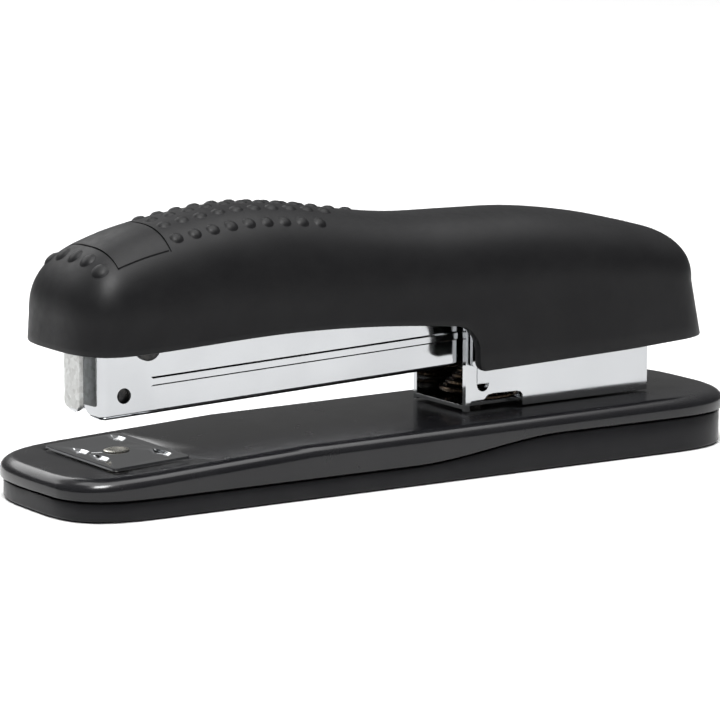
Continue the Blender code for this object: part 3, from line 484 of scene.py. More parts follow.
def lofted(halves, capped=True):
    """Skin a stack of half outlines (y >= 0, tip to tip) together with their mirror images.

    Where an outline has a few points more than the first one, the last of them stay unskinned.
    """
    bm = bmesh.new()
    rings = []
    for half in halves:
        whole = half + [(x, -y, z) for x, y, z in reversed(half[1:-1])]
        rings.append([bm.verts.new(p) for p in whole])
    join_rings(bm, rings)
    if capped:
        count = len(rings[0])
        for ring in (rings[0], rings[-1]):
            for i in range(len(halves[0]) - 1):
                strip = [ring[i], ring[i + 1],
                         ring[(count - i - 1) % count], ring[(count - i) % count]]
                bm.faces.new(list(dict.fromkeys(strip)))
    return bm


def to_mesh(bm, name):
    bmesh.ops.remove_doubles(bm, verts=bm.verts, dist=MERGE_DISTANCE)
    bmesh.ops.dissolve_degenerate(bm, dist=SLIVER_DISTANCE, edges=bm.edges)
    bmesh.ops.recalc_face_normals(bm, faces=bm.faces)
    bmesh.ops.scale(bm, vec=(MM, MM, MM), verts=bm.verts)
    mesh = bpy.data.meshes.new(name)
    bm.to_mesh(mesh)
    bm.free()
    return mesh


def carve(piece, operation, *solids):
    """Cut or fuse solids for good, so that the piece carries its final mesh."""
    tools = []
    for number, bm in enumerate(solids):
        mesh = to_mesh(bm, f"{piece.name}_tool")
        tool = bpy.data.objects.new(f"{piece.name}_tool_{number}", mesh)
        bpy.context.scene.collection.objects.link(tool)
        step = piece.modifiers.new(f"step_{number}", "BOOLEAN")
        step.operation, step.object = operation, tool
        tools.append(tool)
    depsgraph = bpy.context.evaluated_depsgraph_get()
    result = bpy.data.meshes.new_from_object(piece.evaluated_get(depsgraph))
    piece.modifiers.clear()
    piece.data = result
    for tool in tools:
        bpy.data.objects.remove(tool, do_unlink=True)


def cut(piece, *solids):
    carve(piece, "DIFFERENCE", *solids)


def fuse(piece, *solids):
    carve(piece, "UNION", *solids)


def soften(piece, width_mm, segments=3):
    """Round the sharp edges and shade the flats truly flat."""
    for polygon in piece.data.polygons:
        polygon.use_smooth = True
    bevel = piece.modifiers.new("edges", "BEVEL")
    bevel.width = width_mm * MM
    bevel.segments = segments
    bevel.limit_method = "ANGLE"
    bevel.angle_limit = math.radians(BEVEL_ANGLE)
    bevel.harden_normals = True
    bevel.use_clamp_overlap = True


def add_piece(name, bm, slot, body, nodes=(), sharp=SHARP_ANGLE):
    """A piece that rides on a body, wears a slot's finish and stands for CAD nodes."""
    piece = bpy.data.objects.new(name, to_mesh(bm, name))
    bpy.context.scene.collection.objects.link(piece)
    piece.data.materials.append(MATERIALS[slot])
    piece.data.shade_smooth()
    piece.data.set_sharp_from_angle(angle=math.radians(sharp))
    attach(piece, body)
    if nodes:
        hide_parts(*nodes)
    return piece


# ---------------------------------------------------------------- base

def base_top(x):
    slope = TOP_NOSE_SLOPE if x < TOP_KINK_X else TOP_REAR_SLOPE
    return TOP_KINK_Z + slope * (x - TOP_KINK_X)


def parting(x):
    rise = smooth_step((x - PART_RISE_START) / (PART_RISE_END - PART_RISE_START))
    return PART_LOW + (PART_HIGH - PART_LOW) * rise


def base_half_outline(inset):
    front_tip, rear_tip = -BASE_HALF_LENGTH + inset, BASE_HALF_LENGTH - inset
    width = BASE_HALF_WIDTH - inset
    front = end_curve(FRONT_ROUND - inset, width, FRONT_POWER, BASE_END_STEPS)
    rear = end_curve(REAR_ROUND - inset, width, REAR_POWER, BASE_END_STEPS)
    points = [(front_tip + along, y) for along, y in front]
    straight = spaced(front_tip + FRONT_ROUND, TOP_KINK_X, 6.0) + [TOP_KINK_X]
    straight += spaced(TOP_KINK_X, rear_tip - REAR_ROUND, 1.8)
    points += [(x, width) for x in straight]
    points += [(rear_tip - along, y) for along, y in reversed(rear)]
    return points


def base_ring(inset, height):
    return [(x, y, height(x)) for x, y in base_half_outline(inset)]


def anvil_axis():
    tilt = math.atan(TOP_NOSE_SLOPE)
    return (-math.sin(tilt), 0, math.cos(tilt))


def anvil_point(height):
    return Vector((ANVIL_X, 0, base_top(ANVIL_X))) + Vector(anvil_axis()) * height


def on_nose(bm):
    tilt = Matrix.Rotation(-math.atan(TOP_NOSE_SLOPE), 3, "Y")
    bmesh.ops.rotate(bm, cent=(0, 0, 0), matrix=tilt, verts=bm.verts)
    bmesh.ops.translate(bm, vec=anvil_point(0), verts=bm.verts)
    return bm


def rounded_rectangle(half_x, half_y, radius):
    points = []
    for sx, sy, start in ((1, 1, 0), (-1, 1, 90), (-1, -1, 180), (1, -1, 270)):
        points += arc((sx * (half_x - radius), sy * (half_y - radius)), radius,
                      start, start + 90, CORNER_STEPS)
    return points


def dish():
    """The pressed dish around the anvil plate, with sloping sides."""
    half_x, half_y = ANVIL_LENGTH / 2 + MOAT_WIDTH, ANVIL_WIDTH / 2 + MOAT_WIDTH
    slopes = ((-0.55, -MOAT_DEPTH), (-0.25, -MOAT_DEPTH * 0.9), (-0.05, -MOAT_DEPTH * 0.45),
              (0.1, -0.12), (0.35, 0.02), (0.35, 2.0))
    return on_nose(stacked(
        [[(x, y, height) for x, y in rounded_rectangle(half_x + grow, half_y + grow, 1.6 + grow)]
         for grow, height in slopes]))


def build_base():
    def under_top(drop):
        return lambda x: base_top(x) - drop

    def over_parting(rise):
        return lambda x: parting(x) + rise

    rings = [base_ring(SHELL_WALL + 2.0, under_top(SHELL_WALL)),
             base_ring(SHELL_WALL, under_top(SHELL_WALL + 1.6)),
             base_ring(SHELL_WALL, over_parting(SHELL_LIP)),
             base_ring(0.35, over_parting(SHELL_LIP)),
             base_ring(0.10, over_parting(SHELL_LIP + 0.08)),
             base_ring(0.0, over_parting(SHELL_LIP + 0.30))]
    steps = 12
    for i in range(steps + 1):
        turn = math.radians(90.0 * i / steps)
        rings.append(base_ring(SHOULDER * SHOULDER_SPREAD * (1 - math.cos(turn)),
                               under_top(SHOULDER * (1 - math.sin(turn)))))
    shell = add_piece("base_cover", lofted(rings), "gloss_black", "base", ["base_shell"])
    cut(shell, dish(), rod(anvil_point(0), anvil_axis(), POST_R + 0.6, -6, 6))
    shell.data.set_sharp_from_angle(angle=math.radians(SHELL_SHARP_ANGLE))

    tongue = SHELL_WALL + GAP
    rings = [base_ring(PAD_INSET + 0.9, lambda x: 0.0)]
    for i in range(5):
        turn = math.radians(22.5 * i)
        rings.append(base_ring(PAD_INSET + FOOT_ROUND * (1 - math.sin(turn)),
                               lambda x, turn=turn: FOOT_ROUND * (1 - math.cos(turn))))
    rings += [base_ring(PAD_INSET, over_parting(-GAP - 0.3)),
              base_ring(PAD_INSET + 0.09, over_parting(-GAP - 0.09)),
              base_ring(PAD_INSET + 0.3, over_parting(-GAP)),
              base_ring(tongue, over_parting(-GAP)),
              base_ring(tongue, over_parting(TONGUE_RISE)),
              base_ring(tongue + TONGUE_WALL, over_parting(TONGUE_RISE)),
              base_ring(tongue + TONGUE_WALL, over_parting(-GAP))]
    pad = add_piece("base_foot", lofted(rings), "satin_black", "base", ["base_pad"])
    cut(pad, rod((ANVIL_X, 0, 0), UP, BUTTON_POCKET_R, -2, 8))
    pad.data.set_sharp_from_angle(angle=math.radians(SHELL_SHARP_ANGLE))


# ---------------------------------------------------------------- anvil

def clinch_pocket(x, y, length, width, low, high):
    """A boat-shaped dent with sloping ends that turns a staple leg over."""
    turns = [2 * math.pi * k / CLINCH_SIDES for k in range(CLINCH_SIDES)]
    return on_nose(stacked(
        [[(x + share * width / 2 * math.cos(turn), y + share * length / 2 * math.sin(turn), height)
          for turn in turns]
         for share, height in ((0.5, low), (0.61, low + 0.03), (0.98, low + 0.5), (1.0, high))]))


def build_anvil():
    low = ANVIL_LIFT_GAP
    high = low + ANVIL_THICK
    bore, axis = POST_R + GAP, anvil_axis()
    outline = rounded_rectangle(ANVIL_LENGTH / 2, ANVIL_WIDTH / 2, 0.9)
    piece = add_piece("anvil_disc", on_nose(extruded(outline, "Z", low, high)), "chrome", "anvil",
                      ["anvil_plate"])
    pockets = [clinch_pocket(x, y, length, CLINCH_WIDTH, high - CLINCH_DEPTH, high + 0.4)
               for x, y, length in CLINCHES]
    cut(piece, rod(anvil_point(0), axis, bore, low - 1, high + 1), *pockets)
    soften(piece, 0.2)

    post = [(0, -7.3), (1.6, -7.3), (POST_R, -6.9), (POST_R, high + 0.1), (2.6, high + 0.1),
            (2.58, high + 0.2), (2.4, high + 0.28), (2.0, high + 0.32), (1.6, high + 0.32),
            (1.2, high + 0.26), (0.8, high + 0.22), (0, high + 0.2)]
    add_piece("anvil_stud", turned(post, anvil_point(0), axis), "zinc", "anvil", ["anvil_post"])
    knurl = [(bore, -7.9), (BUTTON_R - 0.8, -7.9), (BUTTON_R - 0.2, -7.75), (BUTTON_R, -7.4),
             (BUTTON_R, -6.8), (BUTTON_R - 0.2, -6.5), (bore, -6.5)]
    add_piece("anvil_knob", turned(knurl, anvil_point(0), axis), "zinc", "anvil", ["anvil_button"])
    ring = [(bore, -6.2), (4.3, -6.2), (4.5, -6.0), (4.5, -5.6), (4.3, -5.4), (bore, -5.4)]
    add_piece("anvil_washer", turned(ring, anvil_point(0), axis), "zinc", "anvil_lifter",
              ["anvil_collar"])
    spring = coil(anvil_point(ANVIL_COIL_LOW), axis, ANVIL_COIL_LENGTH, ANVIL_COIL_R, ANVIL_COIL_R,
                  turns=2.5, wire=0.35)
    add_piece("anvil_coil", spring, "spring_steel", "base", ["anvil_spring"])


# ---------------------------------------------------------------- bracket and hinge

def bracket_floor(x):
    return base_top(x) + GAP


def build_bracket():
    front, rear = BRACKET_FRONT, BRACKET_REAR
    half, sheet = BRACKET_HALF_WIDTH, BRACKET_SHEET
    inner, reach = half - sheet, half + 1
    outline = [(front, bracket_floor(front)), (rear, bracket_floor(rear)), (rear, EAR_REAR_Z)]
    outline += arc((HINGE_X, HINGE_Z), HINGE_BOSS_R, 8, 112, 24)
    outline += arc((front + EAR_ROUND, EAR_Z - EAR_ROUND), EAR_ROUND, 90, 180, 12)
    piece = add_piece("rear_saddle", extruded(outline, "Y", -half, half), "chrome", "base",
                      ["rear_bracket"])
    channel = [(front - 2, bracket_floor(front) + sheet), (rear + 2, bracket_floor(rear) + sheet),
               (rear + 2, 40), (front - 2, 40)]
    low = bracket_floor(20.0)
    window = [(17.0, low - 1), (30.4, low - 1), (30.4, low + 2.3)]
    window += [(29.8, low + 3.0), (28.8, low + 3.25), (23.0, low + 3.3), (21.6, low + 3.1),
               (20.6, low + 2.2), (17.4, low + 2.1), (17.0, low + 1.6)]
    under = [(front - 2, bracket_floor(front) - 1), (rear + 2, bracket_floor(rear) - 1),
             (rear + 2, bracket_floor(rear) + 0.4), (front - 2, bracket_floor(front) + 0.4)]
    moon = [(18.7, 17.0)] + arc((20.25, 16.9), 1.5, 180, 360, 24) + [(21.8, 17.0)]
    cut(piece, extruded(channel, "Y", -inner, inner),
        extruded(window, "Y", -reach, -WINDOW_REACH), extruded(under, "Y", -inner, inner),
        extruded(moon, "Y", -reach, -inner + 0.5),
        rod((HINGE_X, 0, HINGE_Z), ACROSS, PIN_R + GAP, -reach, reach),
        *[rod((x, 0, bracket_floor(x)), UP, BRACKET_HOLE_R, -2, 3) for x in BRACKET_RIVETS])
    strap = [(18.75, 17.2), (21.75, 17.2), (21.75, 20.6), (18.75, 20.4)]
    fuse(piece, extruded(strap, "Y", -half - 0.2, -half + 0.3))
    soften(piece, 0.15)

    for number, x in enumerate(BRACKET_RIVETS, start=1):
        low = base_top(x) - SHELL_WALL - GAP
        high = bracket_floor(x) + sheet + GAP
        shape = rivet((x, 0, 0), UP, BRACKET_RIVET_R, low, high, head_r=2.9, head_h=0.9)
        add_piece(f"saddle_rivet_{number}", shape, "zinc", "base", [f"bracket_rivet_{number}"])
    face = FRAME_HALF_WIDTH + GAP
    shape = rivet((HINGE_X, 0, HINGE_Z), ACROSS, PIN_R, -face, face, head_r=3.4, head_h=1.0)
    add_piece("hinge_axle", shape, "zinc", "base", ["hinge_pin"])
    low = bracket_floor(COIL_X) + sheet + GAP
    height = magazine_floor(COIL_X) - GAP - low - COIL_CLEARANCE
    spring = coil((COIL_X, 0, low), UP, height, COIL_LOW_R, COIL_HIGH_R,
                  turns=4.0, wire=0.55, belly=0.7, phase=math.pi)
    add_piece("return_coil", spring, "spring_steel", "base", ["return_spring"])


# ---------------------------------------------------------------- magazine

def magazine_floor(x):
    return MAG_NOSE_Z + MAG_SLOPE * (x - MAG_FRONT)


def slope_axis():
    return Vector((1, 0, MAG_SLOPE)).normalized()


def magazine_half_outline(inset):
    """Half plan of the channel: a closed nose with round corners, and long straight sides."""
    front, half = MAG_FRONT + inset, MAG_HALF_WIDTH - inset
    corner = max(MAG_CORNER - inset, 0.5)
    points = [(front, 0.0), (front, half - corner - 1.5)]
    points += reversed(arc((front + corner, half - corner), corner, 90, 180, 12))
    points += [(x, half) for x in spaced(front + corner, MAG_REAR, 8.0)]
    return points + [(MAG_REAR, half), (MAG_REAR, 0.0)]


def magazine_tub(inset, low, high, bend):
    """A closed tub from the channel's plan, with its lower edge bent round."""
    rings = []
    for i in range(9):
        turn = math.radians(90.0 * i / 8)
        rings.append([(x, y, magazine_floor(x) + low + bend * (1 - math.cos(turn)))
                      for x, y in magazine_half_outline(inset + bend * (1 - math.sin(turn)))])
    rings.append([(x, y, magazine_floor(x) + high) for x, y in magazine_half_outline(inset)])
    return lofted(rings)


def rib_solid(side):
    """The pressed rib on one side of the channel: sloping flanks and a flat crest."""
    outlines = []
    for out, grow, skirt in ((-0.3, 0.5, 0.5), (0.0, 0.35, 0.3), (0.22, 0.0, 0.0)):
        corners = [(RIB_FRONT - grow, RIB_LOW - skirt), (RIB_REAR + grow, RIB_LOW - skirt),
                   (RIB_REAR + grow, RIB_HIGH + grow), (RIB_FRONT - grow, RIB_HIGH + grow)]
        outlines.append([(x, side * (MAG_HALF_WIDTH + out), magazine_floor(x) + height)
                         for x, height in corners])
    return stacked(outlines)


def build_magazine():
    front, rear, tall, sheet = MAG_FRONT, MAG_REAR, MAG_HEIGHT, MAG_SHEET
    outer, reach = MAG_HALF_WIDTH, MAG_HALF_WIDTH + 1
    inner = outer - sheet
    piece = add_piece("magazine_body", magazine_tub(0.0, 0.0, tall, MAG_BEND), "chrome", "magazine",
                      ["magazine_channel"])
    hollow = magazine_tub(sheet, sheet, tall + 3.0, 0.4)
    rear_cut = block(rear - 2.0, rear + 2.0, -inner, inner, magazine_floor(rear) + sheet, 50.0)
    top = [(20.0, magazine_floor(20.0) + tall), (rear + 2, magazine_floor(rear) + 12.0),
           (rear + 2, 60.0), (20.0, 60.0)]
    slot = [(-NOSE_SLOT_HALF - NOSE_FLARE_Y, MAG_NOSE_Z - 2)]
    for i in range(19):
        turn = math.radians(90.0 - 5.0 * i)
        slot.append((-NOSE_SLOT_HALF - NOSE_FLARE_Y * (1 - math.cos(turn)),
                     MAG_NOSE_Z + NOSE_FLARE_Z * (1 - math.sin(turn))))
    slot.append((-NOSE_SLOT_HALF, MAG_NOSE_Z + tall + 3))
    slot += [(-y, z) for y, z in reversed(slot)]
    cross = (CROSS_PIN_X, 0, magazine_floor(CROSS_PIN_X) + CROSS_PIN_HEIGHT)
    cut(piece, hollow, rear_cut, extruded(top, "Y", -reach, reach),
        extruded(slot, "X", front - 1, front + sheet + 0.1),
        block(front + sheet - 0.05, -64.7, -inner, inner, MAG_NOSE_Z - 2, MAG_NOSE_Z + 2.2),
        *[rod(centre, ACROSS, radius, -reach, reach)
          for centre, radius in ((NOSE_HOLE, NOSE_HOLE_R), (NOSE_PIN, NOSE_PIN_R + GAP),
                                 (cross, CROSS_PIN_R + GAP), ((HINGE_X, 0, HINGE_Z), PIN_R + GAP))],
        *[rod((front, y, NOSE_RIVET_Z), ALONG, NOSE_RIVET_R + GAP, -1, 3) for y in NOSE_RIVET_Y])
    fuse(piece, rib_solid(-1), rib_solid(1))
    soften(piece, 0.12)
    face = outer + GAP
    shape = rivet(cross, ACROSS, CROSS_PIN_R, -face, face, head_r=1.7, head_h=0.35)
    add_piece("rail_pin", shape, "zinc", "magazine", ["rail_cross_pin"])
    shape = rivet(NOSE_PIN, ACROSS, NOSE_PIN_R, -face, face, head_r=2.75, head_h=0.9)
    add_piece("nose_stop_pin", shape, "black_oxide", "magazine", ["nose_pin"])
    start = Vector((ROD_FRONT, 0, magazine_floor(ROD_FRONT) + ROD_HEIGHT))
    length = (ROD_REAR - ROD_FRONT) / slope_axis().x
    profile = [(0, 0), (0.6, 0), (ROD_R, 0.2), (ROD_R, length - 0.2), (0.6, length), (0, length)]
    add_piece("guide_rod", turned(profile, start, slope_axis()), "zinc", "magazine", ["pusher_rod"])
    start = Vector((PUSHER_COIL_X, 0, magazine_floor(PUSHER_COIL_X) + ROD_HEIGHT))
    length = PUSHER_COIL_RUN / slope_axis().x
    shape = coil(start, slope_axis(), length, PUSHER_COIL_R, PUSHER_COIL_R, turns=17, wire=0.3)
    spring = add_piece("pusher_coil", shape, "spring_steel", "magazine", ["pusher_spring"])
    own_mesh(spring)


def build_nose():
    face, back, half = STRIP_FACE, STRIP_BACK, STRIP_HALF
    blade = [(-half, 31.5)] + arc((-half + 1.3, 20.6), 1.3, 180, 270, 10)
    outline = blade + [(-y, z) for y, z in reversed(blade)]
    piece = add_piece("nose_strip", extruded(outline, "X", face, back), "galvanised", "magazine",
                      ["nose_guide"])
    head = [(-6.4, 31.3), (6.4, 31.3), (6.4, 35.3), (-6.4, 35.3)]
    fuse(piece, extruded(head, "X", face, MAG_FRONT - GAP))
    cut(piece, *[rod((face, y, NOSE_RIVET_Z), ALONG, NOSE_RIVET_R + GAP, -1, 3)
                 for y in NOSE_RIVET_Y])
    soften(piece, 0.14)
    low, high = -GAP, MAG_FRONT + MAG_SHEET + GAP - face
    for name, y in zip(("near", "far"), NOSE_RIVET_Y):
        shape = rivet((face, y, NOSE_RIVET_Z), ALONG, NOSE_RIVET_R, low, high,
                      head_r=1.4, head_h=0.5)
        add_piece(f"strip_rivet_{name}", shape, "zinc", "magazine", [f"nose_rivet_{name}"])


# ---------------------------------------------------------------- handle

def cover_lower_edge(x):
    if x < ARCH_X:
        return ARCH_Z - NOSE_DIP * smooth_step((ARCH_X - x) / NOSE_DIP_RUN)
    round_start, skirt_start = STEP_X - STEP_R, STEP_X + SKIRT_R
    if x < round_start:
        return ARCH_Z - ARCH_BOW * (x - ARCH_X) ** 2
    if x <= STEP_X:
        centre = ARCH_Z - ARCH_BOW * (round_start - ARCH_X) ** 2 - STEP_R
        return centre + math.sqrt(max(STEP_R ** 2 - (x - round_start) ** 2, 0.0))
    if x < skirt_start:
        return SKIRT_Z + SKIRT_R - math.sqrt(SKIRT_R ** 2 - (skirt_start - x) ** 2)
    return SKIRT_Z + SKIRT_SLOPE * (x - skirt_start)


def cover_stations():
    """Where the long sides are sampled: close together around the step in the lower edge."""
    round_start, skirt_start = STEP_X - STEP_R, STEP_X + SKIRT_R
    stations = spaced(COVER_FRONT + COVER_FRONT_ROUND, round_start, 2.0) + [round_start]
    stations += [round_start + STEP_R * math.sin(math.radians(90.0 * i / 14)) for i in range(1, 14)]
    stations += [STEP_X - 0.01, STEP_X + 0.02]
    stations += [skirt_start - SKIRT_R * math.cos(math.radians(90.0 * i / 7)) for i in range(1, 7)]
    return stations + [skirt_start] + spaced(skirt_start, COVER_REAR - COVER_REAR_ROUND, 2.4)


def cover_half_outline(inset):
    front_tip, rear_tip = COVER_FRONT + inset, COVER_REAR - inset
    width = COVER_HALF_WIDTH - inset
    front = end_curve(COVER_FRONT_ROUND - inset, width, COVER_FRONT_POWER, COVER_END_STEPS)
    rear = end_curve(COVER_REAR_ROUND - inset, width, COVER_REAR_POWER, COVER_END_STEPS)
    points = [(front_tip + along, y) for along, y in front]
    points += [(x, width) for x in cover_stations()]
    points += [(rear_tip - along, y) for along, y in reversed(rear)]
    return [(x, y * (1 - COVER_TAPER * smooth_step((x - TAPER_X) / (COVER_REAR - TAPER_X))))
            for x, y in points]


def cover_wall_top(x):
    fall = smooth_step((x - WALL_FALL_X) / WALL_FALL_RUN)
    return COVER_WALL_FRONT + (COVER_WALL_REAR - COVER_WALL_FRONT) * fall


def cover_wall_point(x, y, height):
    """A point on the leaning wall below an outline point, at a height above the lower edge."""
    low = cover_lower_edge(x) + height
    drop = cover_wall_top(x) - low
    nose = max((COVER_SPINE_FRONT - x) / (COVER_SPINE_FRONT - COVER_FRONT), 0.0)
    tail = max((x - COVER_SPINE_REAR) / (COVER_REAR - COVER_SPINE_REAR), 0.0)
    lean = COVER_TAIL_LEAN * tail - COVER_NOSE_LEAN * nose
    return (x + lean * drop, y * (1 + COVER_DRAFT * drop / COVER_HALF_WIDTH), low)


def cover_dome(x, y, turn, drop):
    hub = min(max(x, COVER_SPINE_FRONT), COVER_SPINE_REAR)
    spread = math.cos(turn) ** (2 / COVER_POWER) if turn < math.pi / 2 - 1e-6 else 0.0
    rise = math.sin(turn) ** (2 / COVER_POWER)
    px = hub + (x - hub) * spread
    base = cover_wall_top(x)
    crown = curve_through(CROWN, px) - drop
    return (px, y * spread, base + (crown - base) * rise)


def cover_ring(inset, height):
    return [cover_wall_point(x, y, height) for x, y in cover_half_outline(inset)]


def cover_dome_rings(inset, drop, rows):
    return [[cover_dome(x, y, math.radians(90.0 * k / rows), drop)
             for x, y in cover_half_outline(inset)] for k in range(rows + 1)]


def above(tree, x, y):
    """The cover's surface over a plan position: its place in millimetres and outward direction."""
    spot, normal, _, _ = tree.ray_cast(Vector((x, y, 100.0)) * MM, Vector((0, 0, -1)))
    return spot / MM, normal


def bump_at(bm, tree, x, y, radius, height):
    """A low dome with a soft foot, standing square on the cover and sunk into it a little."""
    foot, sunk = 0.25, 0.06
    spot, normal = above(tree, x, y)
    side = normal.orthogonal().normalized()
    other = normal.cross(side)
    rings = []
    for i in range(BUMP_STEPS + 1):
        share = i / BUMP_STEPS
        reach = radius * math.cos(math.radians(90.0 * share)) ** 0.8 + foot * (1 - share) ** 4
        lift = height * math.sin(math.radians(90.0 * share)) ** 1.25 - sunk
        count = BUMP_SIDES
        if i == BUMP_STEPS:
            count, reach = 1, 0.0
        turns = [2 * math.pi * k / count for k in range(count)]
        rings.append([bm.verts.new(spot + normal * lift + side * (reach * math.cos(turn))
                                   + other * (reach * math.sin(turn))) for turn in turns])
    for first, second in zip(rings, rings[1:]):
        for k in range(BUMP_SIDES):
            m = (k + 1) % BUMP_SIDES
            corners = [first[k], first[m], second[m % len(second)], second[k % len(second)]]
            bm.faces.new(list(dict.fromkeys(corners)))
    bm.faces.new(rings[0])


def groove_tool(tree):
    """A thin wall standing on the outline of the label, sunk a little into the cover."""
    bm = bmesh.new()
    half, wall_top = GROOVE_WIDTH / 2, 2.0

    def loop(grow):
        points = []
        xs, ys = (LABEL_FRONT - grow, LABEL_REAR + grow), LABEL_HALF_WIDTH + grow
        walk = [(xs[0], -ys), (xs[1], -ys), (xs[1], ys), (xs[0], ys)]
        for (xa, ya), (xb, yb) in zip(walk, walk[1:] + walk[:1]):
            for i in range(GROOVE_STEPS):
                points.append((xa + (xb - xa) * i / GROOVE_STEPS,
                               ya + (yb - ya) * i / GROOVE_STEPS))
        return points

    columns = []
    for grow in (-half, half):
        for lift in (-GROOVE_DEPTH, wall_top):
            ring = []
            for x, y in loop(grow):
                spot, _ = above(tree, x, y)
                ring.append(bm.verts.new(spot + Vector(UP) * lift))
            columns.append(ring)
    inner_low, inner_high, outer_low, outer_high = columns
    join_rings(bm, [inner_low, inner_high, outer_high, outer_low, inner_low])
    return bm


def build_cover():
    inner = cover_dome_rings(COVER_WALL, COVER_WALL, COVER_INNER_ROWS)
    rim = [cover_ring(COVER_WALL, RIM_ROUND), cover_ring(COVER_WALL - RIM_BEND, RIM_RISE),
           cover_ring(COVER_WALL - RIM_ROUND, 0.0), cover_ring(RIM_ROUND, 0.0),
           cover_ring(RIM_BEND, RIM_RISE), cover_ring(0.0, RIM_ROUND)]
    walls = []
    for share in (0.25, 0.5, 0.75):
        walls.append([cover_wall_point(x, y, share * (cover_wall_top(x) - cover_lower_edge(x)))
                      for x, y in cover_half_outline(0.0)])
    outer = cover_dome_rings(0.0, 0.0, COVER_ROWS)
    bm = lofted(list(reversed(inner)) + rim + walls + outer, capped=False)
    piece = add_piece("handle_cover", bm, "soft_black", "handle", ["cover_shell"])
    tree = BVHTree.FromPolygons([v.co for v in piece.data.vertices],
                                [p.vertices for p in piece.data.polygons])
    cut(piece, groove_tool(tree))
    piece.data.set_sharp_from_angle(angle=math.radians(SHARP_ANGLE))

    bumps = bmesh.new()
    for y, count in BUMP_ROWS:
        for i in range(count):
            bump_at(bumps, tree, BUMP_START_X + BUMP_PITCH * i, y, BUMP_RADIUS, BUMP_HEIGHT)
    for y, _ in BUMP_ROWS:
        bump_at(bumps, tree, NOSE_BUMP_X, y, NOSE_BUMP_RADIUS, BUMP_HEIGHT)
    add_piece("grip_bumps", bumps, "soft_black", "handle", sharp=BUMP_SHARP_ANGLE)

    roof, shank, bore = FRAME_ROOF_Z, COVER_SCREW_R, COVER_SCREW_R + GAP
    foot = roof + FRAME_SHEET + GAP
    for number, x in enumerate(COVER_SCREWS, start=1):
        screw = [(0, roof - 1.3), (0.9, roof - 1.3), (0.9, roof - 1.9), (1.8, roof - 1.9),
                 (2.4, roof - 1.6), (2.6, roof - 1.1), (2.6, roof - GAP), (shank, roof - GAP),
                 (shank, roof + 4.4), (0, roof + 5.0)]
        add_piece(f"case_screw_{number}", turned(screw, (x, 0, 0), UP), "zinc", "handle",
                  [f"cover_screw_{number}"])
        top = curve_through(CROWN, x) - COVER_WALL + 0.3
        boss = [(bore, foot), (3.2, foot), (3.4, top), (bore, top)]
        add_piece(f"screw_boss_{number}", turned(boss, (x, 0, 0), UP), "soft_black", "handle")


def build_frame():
    roof, half, sheet = FRAME_ROOF_Z, FRAME_HALF_WIDTH, FRAME_SHEET
    front_x, fall_x, rear_x = FRAME_FRONT, ROOF_FALL_X, FRAME_REAR
    rear_roof = roof - ROOF_FALL * (rear_x - fall_x)
    outline = [(front_x, roof + sheet), (front_x, 42.0), (-47.0, 42.0), (-36.0, 35.6), (8.5, 34.0)]
    outline += arc((10.2, 26.6), 6.5, 80, 0, 20)
    outline += [(16.7, 21.6), (17.0, 21.1), (17.6, 20.9), (50.0, 22.2)]
    outline += arc((HINGE_X, HINGE_Z), 5.4, -80, 10, 18)
    outline += [(rear_x, rear_roof + sheet), (fall_x, roof + sheet)]
    piece = add_piece("handle_channel", extruded(outline, "Y", -half, half), "chrome", "handle",
                      ["handle_frame"])
    hollow = [(-80, 10), (80, 10), (80, rear_roof), (rear_x, rear_roof), (fall_x, roof),
              (-80, roof)]
    cut(piece, extruded(hollow, "Y", -half + sheet, half - sheet),
        rod((HINGE_X, 0, HINGE_Z), ACROSS, PIN_R + GAP, -half - 1, half + 1),
        *[rod((x, 0, roof), UP, COVER_SCREW_R + GAP, -2, 3) for x in COVER_SCREWS],
        *[rod((x, 0, roof), UP, DRIVER_RIVET_R + GAP, -2, 3) for x in DRIVER_RIVETS])
    soften(piece, 0.15)
    for number, x in enumerate(DRIVER_RIVETS, start=1):
        shape = rivet((x, 0, 0), UP, DRIVER_RIVET_R, roof - 1.6, roof + sheet + GAP,
                      head_r=1.7, head_h=0.5)
        add_piece(f"blade_rivet_{number}", shape, "zinc", "handle", [f"driver_rivet_{number}"])
    low = magazine_floor(HANDLE_COIL_X) + HANDLE_COIL_RISE + GAP
    spring = coil((HANDLE_COIL_X, 0, low), UP, roof - GAP - low, HANDLE_COIL_R, HANDLE_COIL_R,
                  turns=4, wire=0.4)
    add_piece("handle_coil", spring, "spring_steel", "handle", ["handle_spring"])


# ---------------------------------------------------------------- carried-over CAD nodes

def dress_nodes():
    """The plain internal sheet parts keep their CAD meshes and get a finish and soft edges."""
    finishes = {"driver_blade": "galvanised", "staple_rail": "zinc", "rod_holder_front": "zinc",
                "rod_holder_rear": "zinc", "spring_bridge": "zinc", "staple_pusher": "black_oxide"}
    for name, slot in finishes.items():
        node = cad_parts[name]
        node.data.materials.clear()
        node.data.materials.append(MATERIALS[slot])
        soften(node, 0.1, segments=2)


# ---------------------------------------------------------------- stage, light and camera

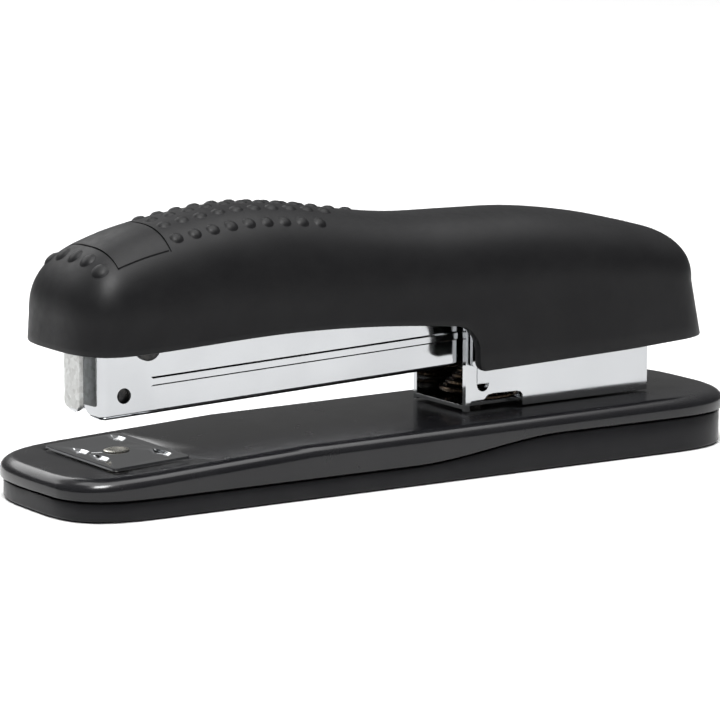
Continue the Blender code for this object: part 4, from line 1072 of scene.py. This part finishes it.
def build_camera():
    back = Vector((-math.sin(AZIMUTH) * math.cos(ELEVATION),
                   -math.cos(AZIMUTH) * math.cos(ELEVATION), math.sin(ELEVATION)))
    right = Vector((math.cos(AZIMUTH), -math.sin(AZIMUTH), 0.0))
    up = back.cross(right)
    tilted_right = right * math.cos(ROLL) + up * math.sin(ROLL)
    tilted_up = up * math.cos(ROLL) - right * math.sin(ROLL)
    data = bpy.data.cameras.new("camera")
    data.sensor_width, data.lens = SENSOR, LENS
    data.clip_start, data.clip_end = 0.05, 20.0
    camera = bpy.data.objects.new("camera", data)
    bpy.context.scene.collection.objects.link(camera)
    turn = Matrix((tilted_right, tilted_up, back)).transposed().to_4x4()
    place = (CAMERA_TARGET + back * CAMERA_DISTANCE) * MM
    camera.matrix_world = Matrix.Translation(place) @ turn
    bpy.context.scene.camera = camera


def area_light(name, place, target, size, power):
    data = bpy.data.lights.new(name, "AREA")
    data.shape = "RECTANGLE"
    data.size, data.size_y = size
    data.energy = power
    lamp = bpy.data.objects.new(name, data)
    bpy.context.scene.collection.objects.link(lamp)
    lamp.location = place
    lamp.rotation_mode = "QUATERNION"
    lamp.rotation_quaternion = (Vector(target) - Vector(place)).to_track_quat("-Z", "Y")


def build_stage():
    bm = bmesh.new()
    bmesh.ops.create_circle(bm, cap_ends=True, segments=64, radius=FLOOR_RADIUS)
    mesh = bpy.data.meshes.new("floor")
    bm.to_mesh(mesh)
    bm.free()
    floor = bpy.data.objects.new("floor", mesh)
    bpy.context.scene.collection.objects.link(floor)
    floor.location.z = FLOOR_Z
    paint = Finish("floor_white", (FLOOR_GREY, FLOOR_GREY, FLOOR_GREY), 0.7, specular=0.1)
    floor.data.materials.append(paint.material)

    world = bpy.data.worlds.new("studio")
    bpy.context.scene.world = world
    world.use_nodes = True
    tree = world.node_tree
    direction = tree.nodes.new("ShaderNodeTexCoord").outputs["Generated"]
    split = tree.nodes.new("ShaderNodeSeparateXYZ")
    sky = tree.nodes.new("ShaderNodeValToRGB")
    sky.color_ramp.elements[0].position, sky.color_ramp.elements[1].position = 0.25, 0.85
    sky.color_ramp.elements[0].color = (*[SKY_LOW] * 3, 1.0)
    sky.color_ramp.elements[1].color = (*[SKY_HIGH] * 3, 1.0)
    tree.links.new(direction, split.inputs["Vector"])
    tree.links.new(split.outputs["Z"], sky.inputs["Fac"])
    tree.links.new(sky.outputs["Color"], tree.nodes["Background"].inputs["Color"])
    for softbox in SOFTBOXES:
        area_light(*softbox)
    bpy.context.scene.view_settings.view_transform = "Standard"


build_base()
build_anvil()
build_bracket()
build_magazine()
build_nose()
build_cover()
build_frame()
dress_nodes()
build_stage()
build_camera()
